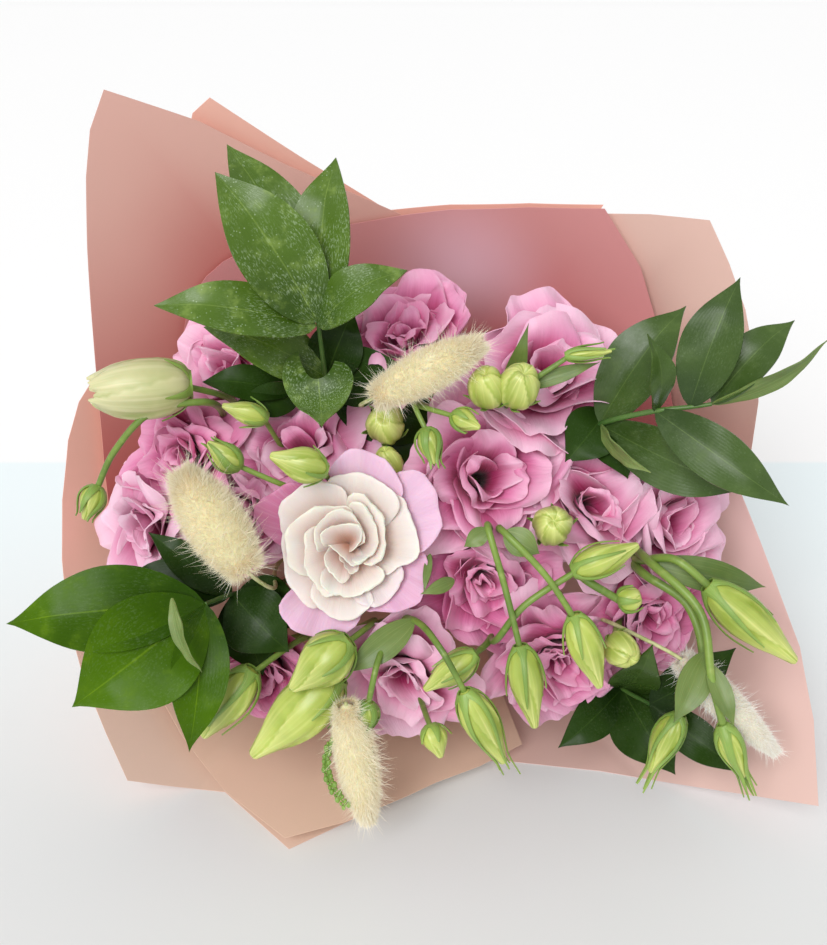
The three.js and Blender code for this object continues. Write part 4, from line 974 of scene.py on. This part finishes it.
RUSCUS_FINISHES = {
    "ruscus_top_left": ruscus_finish(
        "speckled ruscus leaf", (0.034, 0.076, 0.006), (0.082, 0.155, 0.014),
        (0.18, 0.27, 0.05), 0.5),
    "ruscus_left": ruscus_finish(
        "fresh ruscus leaf", (0.018, 0.055, 0.001), (0.058, 0.135, 0.001),
        (0.14, 0.25, 0.005), 0.07, 0.1),
    "ruscus_right": ruscus_finish(
        "dull ruscus leaf", (0.020, 0.046, 0.008), (0.054, 0.100, 0.018),
        (0.12, 0.19, 0.045), 0.08),
    "ruscus_low_right": ruscus_finish(
        "dark ruscus leaf", (0.014, 0.036, 0.004), (0.040, 0.082, 0.010),
        (0.09, 0.155, 0.03), 0.08),
}
# A darker finish for the broad leaves that lie in shade: painted shade.
shade_painted_leaf = ruscus_finish("shaded ruscus leaf", (0.006, 0.018, 0.002), (0.020, 0.050, 0.005),
                          (0.05, 0.10, 0.015), 0.05, 0.12)
twig_finish = green_finish("ruscus twig", (0.04, 0.10, 0.02), (0.08, 0.17, 0.03),
                           (0.16, 0.26, 0.06))
# How a blade's width runs: its fullness, where it is widest, and its ears.
BROAD, SLENDER, SADDLE = (0.78, 0.9, 0.0), (0.66, 0.9, 0.0), (1.1, 0.62, 0.42)

for order, (name, (bundle, twig, leaves)) in enumerate(RUSCUS.items()):
    draw = np.random.default_rng(700 + order)
    parts = [stalk([*through_tie(bundle, TWIG_RADIUS), *map(seen_at, twig)],
                   TWIG_RADIUS, TWIG_END, twig_finish)]
    for foot, tip, width, arch, facing in leaves:
        form = SADDLE if arch < 0 else SLENDER if name == "ruscus_top_left" else BROAD
        fullness, peak, ears = form
        shape = leaf_places(foot, tip, width, arch, facing, wave=0.8, peak=peak,
                            phase=draw.uniform(0, 6), fullness=fullness, ears=ears)
        shaded = tip[2] <= SHADED_BELOW and width > SHADED_FROM
        finish = shade_painted_leaf if shaded else RUSCUS_FINISHES[name]
        parts.append(blade(leaf_blank, shape, draw.uniform(0, 0.6),
                           narrow_leaf_finish if width < NARROW else finish, RUSCUS_THICKNESS))
    on_the_bouquet(joined(parts, name + "_leaves"), name)

# ---------------------------------------------------------------- bunny tails
# Four bunny-tail grasses: a soft dense head of pale down, with longer awns that stand out of it,
# on a thin dry straw.

# A grass's place in the bundle, its head's foot, tip and radius, the places that its straw
# passes, and how much its head tapers.
BUNNY_TAILS = {
    "bunny_tail_top": (
        (4.1, 113), (374, 398, 38), (482, 343, 50), 9.5, [(372, 410, -40), (362, 404, 26)], 0.0),
    "bunny_tail_left": (
        (7.9, 186), (248, 572, 40), (180, 472, 48), 13.5, [(282, 560, -50), (272, 588, 20)], 0.0),
    "bunny_tail_bottom": (
        (7.9, 268), (346, 704, 28), (368, 820, 6), 9.5, [(390, 650, -70), (352, 714, 6)], 0.0),
    "bunny_tail_right": (
        (7.9, 322), (681, 659, 17), (776, 753, 16), 9.0, [(560, 600, -80), (622, 628, 4)], 0.3),
}
STRAW_RADIUS = 1.3
STRAW_END = 0.7
STRAW_SEAT = 0.1
DOWN_HAIRS = 13000
AWNS = 420
CORE = 0.86  # the head's body against its width, with the hairs' roots a little inside
ROOTS = 0.8


def down_finish(name, shade, light):
    material, shader, place, along, tint = new_finish(
        name, Roughness=0.85, Subsurface_Weight=0.3, Subsurface_Scale=0.004, Sheen_Weight=0.2)
    tone = (place.noise(130, 3.0) * 0.5 + tint * 0.8).eased(0.1, 0.9)
    feed(shader, Base_Color=tone.mixed(shade, light))
    return material


cream_down = down_finish("cream down", (0.80, 0.66, 0.38), (0.96, 0.88, 0.66))
white_down = down_finish("white down", (0.80, 0.70, 0.54), (0.96, 0.92, 0.84))
straw_finish, shader, place, along, tint = new_finish("dry straw", Roughness=0.6)
tone = place.noise(200, 3.0).eased(0.3, 0.7)
feed(shader, Base_Color=tone.mixed((0.36, 0.42, 0.14), (0.62, 0.60, 0.34)))


def down(roots, tips, thick, tint_root, tint_tip, finish):
    """Fine hairs, each a three-sided spike, as one mesh."""
    count = len(roots)
    along_hair = tips - roots
    side = np.cross(along_hair, [0.31, 0.52, 0.79])
    side = side / np.linalg.norm(side, axis=1)[:, None] * thick
    other = np.cross(along_hair, side)
    other = other / np.linalg.norm(other, axis=1)[:, None] * thick
    corners = [
        roots + side, roots - 0.5 * side + 0.87 * other, roots - 0.5 * side - 0.87 * other, tips]
    points = placed(np.stack(corners, axis=1).reshape(-1, 3))
    base = np.arange(count)[:, None, None] * 4
    faces = (base + np.array([[0, 1, 3], [1, 2, 3], [2, 0, 3], [2, 1, 0]])).reshape(-1, 3)
    mesh = bpy.data.meshes.new("hairs")
    mesh.from_pydata(points.tolist(), [], faces.tolist())
    mesh.uv_layers.new(name="UVMap")
    tones = mesh.attributes.new("tint", "FLOAT", "POINT")
    tones.data.foreach_set("value", np.tile([tint_root] * 3 + [tint_tip], count).astype(np.float32))
    mesh.materials.append(finish)
    return linked("hairs", mesh)


SEED_HEAD = ((330, 742, 20), (326, 764, 19), (332, 786, 17), (346, 806, 14))
SEED_STALK_FOOT = (346, 712, 14)
BEAD = (1.2, 1.6, 1.1)
seed_finish = green_finish("seed head", (0.12, 0.24, 0.03), (0.24, 0.40, 0.07),
                           (0.42, 0.55, 0.16))


def seed_head():
    """A green spike of close beads, in two rows."""
    spine = through([seen_at(place) for place in SEED_HEAD], 5)
    parts = [stalk([seen_at(SEED_STALK_FOOT), *spine], 0.5, 0.3, seed_finish, 3)]
    deselect()
    bpy.ops.mesh.primitive_ico_sphere_add(subdivisions=2, radius=1)
    bead_blank = kept_mesh()
    for k, middle in enumerate(spine):
        for side in (-1, 1):
            grain = 0.75 + 0.25 * math.sin(2.6 * k + side)
            points = flat_places(bead_blank) * [BEAD[0] * grain, BEAD[1] * grain, BEAD[2]]
            points = points + middle + [
                (0.6 + 0.5 * grain) * side, 0.6 * side, 0.5 * math.sin(1.9 * k)]
            bead = shaped(bead_blank, points)
            bead.data.materials.append(seed_finish)
            parts.append(bead)
    return parts


for order, (name, (bundle, foot, tip, radius, way, taper)) in enumerate(BUNNY_TAILS.items()):
    draw = np.random.default_rng(900 + order)
    foot, tip = seen_at(foot), seen_at(tip)
    line = line_frame(foot, tip)
    length, forward, sideways, upward = line
    soft = white_down if name == "bunny_tail_right" else cream_down

    def swell(s):
        return radius * np.sin(math.pi * (0.12 + 0.82 * s)) ** 0.7 * (1 - taper * s)

    flat = flat_places(bud_blank)
    s = (flat[:, 2] + 1) / 2
    core = CORE * swell(s) * np.sqrt(np.clip(1 - (2 * s - 1) ** 8, 0, 1))
    head = shaped(bud_blank, round_line(foot, line, s, core, np.arctan2(flat[:, 1], flat[:, 0])))
    head.data.materials.append(soft)

    def hairs(count, reach, spread, thick, lean, tones):
        s = draw.uniform(0.0, 1.0, count)
        angle = draw.uniform(0, 2 * math.pi, count)
        out = np.outer(np.cos(angle), sideways) + np.outer(np.sin(angle), upward)
        roots = foot + np.outer(s * length, forward) + out * (ROOTS * swell(s))[:, None]
        ahead = lean + 1.4 * eased(s, 0.75, 1.0) - 1.0 * (1 - eased(s, 0.0, 0.18))
        way_out = out + np.outer(ahead, forward) + spread * draw.normal(0, 1, (count, 3))
        way_out = way_out / np.linalg.norm(way_out, axis=1)[:, None]
        tips = roots + way_out * (reach * draw.uniform(0.7, 1.3, count) * (1 - taper * s))[:, None]
        return down(roots, tips, thick, *tones, soft)

    parts = [
        head,
        hairs(DOWN_HAIRS, 0.2 * radius + 1.1, 0.45, 0.09, 0.6, (0.0, 1.0)),
        hairs(AWNS, 0.45 * radius + 4.5, 0.4, 0.12, 0.4, (0.8, 1.0)),
        stalk([*through_tie(bundle, STRAW_RADIUS), *map(seen_at, way), foot,
               foot + STRAW_SEAT * (tip - foot)], STRAW_RADIUS, STRAW_END, straw_finish),
    ]
    if name == "bunny_tail_bottom":
        parts += seed_head()
    on_the_bouquet(joined(parts, name + "_down"), name)

# ---------------------------------------------------------------- wrapping paper
# Seven cut sheets of matt wrapping paper in rose and coral. They lie on each other, fan out round
# the flowers as a cone, press flat where they meet the table, and are gathered at the tie.

PAPER_SPREAD = math.radians(41)
PAPER_THICKNESS = 0.2
CAD_PAPER = 0.8
NECK_RADIUS = 11.2
NECK_PITCH = 1.35
RIM_PITCH = 3.0
PARTING_LENGTH = 150.0
PAPER_LAYERS = 4
TAIL_LENGTH = 38.0
TAIL_FLARE = 0.12
PAPER_ROWS = 46
EDGE_STEPS = 8
TAIL_ROWS = (0, 0.1, 0.16, 1)  # shares of a sheet: its end, the tie's two edges, its rim

# A sheet's layer, from the inmost, 0, to the one on the table, 3, its paper, and its rim.
SHEETS = {
    "paper_back_left": (1, "rose", [(420, 240), (401, 215), (385, 208), (290, 166), (200, 122),
        (105, 91), (92, 132), (89, 180), (91, 250), (95, 330), (98, 400), (103, 470),
        (112, 540)]),
    "paper_front": (0, "sand", [(140, 662), (180, 735), (225, 791), (285, 838), (345, 822),
        (405, 797), (437, 782), (480, 766), (522, 744)]),
    "paper_back": (0, "dusk", [(676, 430), (668, 380), (658, 330), (640, 268), (605, 208),
        (530, 205), (450, 209), (402, 216), (362, 223), (330, 228), (300, 234), (272, 241),
        (246, 250), (224, 262), (207, 278), (195, 297), (188, 318), (184, 340), (181, 362),
        (180, 384)]),
    "paper_right_back": (2, "right", [(738, 488), (747, 465), (758, 402), (757, 370), (745, 310),
        (728, 265), (708, 222), (650, 215), (605, 213), (540, 226)]),
    "paper_back_corner": (3, "coral", [(604, 204), (530, 201), (450, 204), (388, 211), (300, 156),
        (210, 98), (193, 114), (186, 150)]),
    "paper_left": (3, "coral", [(112, 330), (97, 374), (78, 402), (66, 440), (60, 500), (60, 560),
        (66, 620), (82, 680), (105, 735), (127, 781), (170, 786), (225, 792), (289, 849),
        (351, 820), (405, 780)]),
    "paper_right": (3, "blush", [(428, 762), (505, 761), (600, 771), (665, 782), (751, 796),
        (821, 808), (817, 722), (802, 648), (772, 574), (739, 494), (728, 468)]),
}
# Each paper's colour at its foot, deepened as painted shade, and at its rim, its colour low down,
# painted shade too, and the heights over the table between which that one fades.
PAPERS = {
    "rose": ((0.60, 0.185, 0.165), (0.78, 0.47, 0.40), (0.56, 0.10, 0.10), (0.07, 0.27)),
    "dusk": ((0.64, 0.20, 0.215), (0.70, 0.31, 0.31), (0.57, 0.13, 0.14), (0.05, 0.24)),
    "right": ((0.37, 0.165, 0.145), (0.80, 0.55, 0.47), (0.52, 0.16, 0.14), (0.04, 0.20)),
    "coral": ((0.84, 0.40, 0.31), (0.92, 0.53, 0.43), (0.77, 0.57, 0.46), (0.02, 0.11)),
    "sand": ((0.60, 0.35, 0.26), (0.80, 0.57, 0.43), (0.80, 0.57, 0.43), (0.0, 0.02)),
    "blush": ((0.97, 0.64, 0.62), (0.93, 0.63, 0.61), (0.76, 0.53, 0.47), (0.02, 0.13)),
}
GLOW = (462, 266)  # where a glow of light through the back sheet is painted
GLOW_REACH = 0.056  # metres
OUTSIDE = 2.0  # the tint that marks a sheet's outer side, which has its rim's colour all over


def paper_point(radius, angle, layer):
    """The sheets' surface: a cone from the tie, pressed flat where it meets the table."""
    radius, angle = np.asarray(radius, float), np.asarray(angle, float)
    x = TIE_CENTRE[0] + radius * np.cos(angle)
    y = TIE_CENTRE[1] + radius * np.sin(angle)
    from_neck = radius - NECK_RADIUS - NECK_PITCH * layer
    parting = (RIM_PITCH - NECK_PITCH) * layer * np.clip(from_neck / PARTING_LENGTH, 0, 1)
    cone = (TIE_CENTRE[2] + TIE_WIDTH / 2 + from_neck / math.tan(PAPER_SPREAD)
            - parting / math.sin(PAPER_SPREAD))
    height = CAD_PAPER / 2 + RIM_PITCH * (PAPER_LAYERS - 1 - layer)
    flat = (height - FACE[2] - y * math.cos(RISE)) / math.sin(RISE)
    free = eased(cone - flat, 2, 30)
    billow = eased(from_neck, 60, 190) * (
        1.6 * np.sin(3.1 * angle + 0.6) + 1.1 * np.sin(7.3 * angle + 1.9)
        + 0.5 * np.sin(0.06 * from_neck + 4 * angle))
    gathers = 0.9 * np.sin(17 * angle) * eased(from_neck, 2, 40) * (1 - eased(from_neck, 50, 140))
    out = (billow + gathers) * free
    depth = np.maximum(cone, flat)
    return np.stack([
        x + out * math.cos(PAPER_SPREAD) * np.cos(angle),
        y + out * math.cos(PAPER_SPREAD) * np.sin(angle),
        depth - out * math.sin(PAPER_SPREAD),
    ], axis=-1)


def on_paper(pixel, layer):
    """Where the line of sight through a pixel meets that surface, as a radius and an angle."""
    out = 0.0
    for _ in range(40):
        offset = seen_at((*pixel, out)) - TIE_CENTRE
        radius, angle = math.hypot(offset[0], offset[1]), math.atan2(offset[1], offset[0])
        out = 0.5 * (out + float(paper_point(radius, angle, layer)[2]))
    return radius, angle


def paper_finish(name, shaded_foot, far, low, heights, painted_glow):
    """Matt paper: deeper at its foot and low down, both painted shade, paler towards its rim, in
    faint clouds.
    """
    material, shader, place, along, tint = new_finish(
        name, Roughness=0.42, Specular_IOR_Level=0.3)
    clouds = place.noise(9, 2.0)
    grain = place.noise(900, 2.0)
    spread = (tint.eased(0.58, 1.02) + (clouds - 0.5) * 0.4).eased(0, 1)
    outside = tint.eased(1.2, 1.8)
    height = place.parts()[2].eased(*heights)
    colour = (height + outside).mixed(low, spread.mixed(shaded_foot, far))
    # A violet glow round GLOW on the back sheet: painted light through the paper.
    if painted_glow:
        middle = placed(paper_point(*on_paper(GLOW, 0), 0))
        apart = place.node(
            "ShaderNodeVectorMath", {"operation": "DISTANCE"}, {0: place, 1: middle}, output=1)
        light = (1 - apart.eased(0.0, GLOW_REACH)) * 0.9
        colour = light.mixed(colour, (0.87, 0.53, 0.62))
    feed(shader, Base_Color=colour, Normal=grain.bump(0.12, 0.0002), Roughness=clouds * 0.12 + 0.38)
    return material


for name, (layer, colour, edge) in SHEETS.items():
    rim = []
    for (x0, y0), (x1, y1) in zip(edge, edge[1:]):
        for share in np.arange(EDGE_STEPS) / EDGE_STEPS:
            rim.append(on_paper((x0 + (x1 - x0) * share, y0 + (y1 - y0) * share), layer))
    rim.append(on_paper(edge[-1], layer))
    radii = np.array([r for r, _ in rim])
    angles = np.unwrap([a for _, a in rim])
    shares = np.linspace(-1, 1, len(rim))
    neck = NECK_RADIUS + NECK_PITCH * layer
    tie_edge = -TIE_WIDTH / TAIL_LENGTH

    def place(q, s):
        angle = np.interp(q, shares, angles)
        rim_radius = np.interp(q, shares, radii)
        row = np.interp(s, TAIL_ROWS, [-1, tie_edge, 0, 1])
        point = paper_point(neck + (rim_radius - neck) * np.maximum(row, 0), angle, layer)
        beyond = np.maximum(0, -row * TAIL_LENGTH - TIE_WIDTH)
        pleat = 1 + 0.02 * np.sin(17 * angle) * beyond / 10
        ring = (neck + TAIL_FLARE * beyond) * pleat
        tail = np.stack([
            TIE_CENTRE[0] + ring * np.cos(angle),
            TIE_CENTRE[1] + ring * np.sin(angle) - beyond * CUT_END[1] / CUT_END[2],
            TIE_CENTRE[2] + TIE_WIDTH / 2 + row * TAIL_LENGTH,
        ], axis=1)
        return np.where((row < 0)[:, None], tail, point)

    paper_blank = blank(len(rim) - 1, PAPER_ROWS)
    piece = thickened(bent(paper_blank, place), PAPER_THICKNESS)
    along_sheet = (flat_places(paper_blank)[:, 1] + 1) / 2
    sides = np.split(flat_places(piece.data), 2)
    # The inner side's tint runs from foot to rim and carries the painted shade; the outer side has
    # its rim's colour all over.
    tones = [along_sheet, np.full_like(along_sheet, OUTSIDE)]
    if np.sum((sides[1] - sides[0]) * (sides[0] - placed([TIE_CENTRE[0], TIE_CENTRE[1], 0]))) < 0:
        tones.reverse()
    tones = np.concatenate(tones).astype(np.float32)
    piece.data.attributes["tint"].data.foreach_set("value", tones)
    piece.name = name + "_sheet"
    on_the_bouquet(piece, name,
                   paper_finish(name + " paper", *PAPERS[colour], name == "paper_back"))

# ---------------------------------------------------------------- tie
# A satin ribbon, wound tight round the gathered paper, holds the sheets and all the stems.

TIE_INNER = NECK_RADIUS + NECK_PITCH * (PAPER_LAYERS - 1) + CAD_PAPER / 2 + 0.9
WINDINGS = ((-3.6, 0.0), (0.1, 0.35), (3.7, 0.1))
RIBBON_HALF = 2.35
RIBBON_INSET = 0.6  # how far out of the paper a winding's middle is
RIBBON_DEPTH = 0.5  # half of a winding's thickness

ribbon_finish, shader, place, along, tint = new_finish(
    "satin ribbon", Roughness=0.3, Sheen_Weight=0.4)
threads = place.noise(1400, 2.0)
feed(shader, Base_Color=threads.eased(0.3, 0.7).mixed((0.52, 0.19, 0.17), (0.66, 0.29, 0.25)),
     Normal=threads.bump(0.2, 0.0003))
turns = []
for height, proud in WINDINGS:
    middle = TIE_INNER + RIBBON_INSET + proud
    deselect()
    bpy.ops.mesh.primitive_torus_add(
        major_radius=middle, minor_radius=1, major_segments=96, minor_segments=12)
    torus = kept_mesh()
    points = flat_places(torus)
    ring = np.hypot(points[:, 0], points[:, 1])[:, None]
    points[:, :2] *= (middle + (ring - middle) * RIBBON_DEPTH) / ring
    points[:, 2] = points[:, 2] * RIBBON_HALF + height
    turns.append(shaped(torus, points + TIE_CENTRE))
on_the_bouquet(joined(turns, "ribbon_windings"), "tie_band", ribbon_finish)
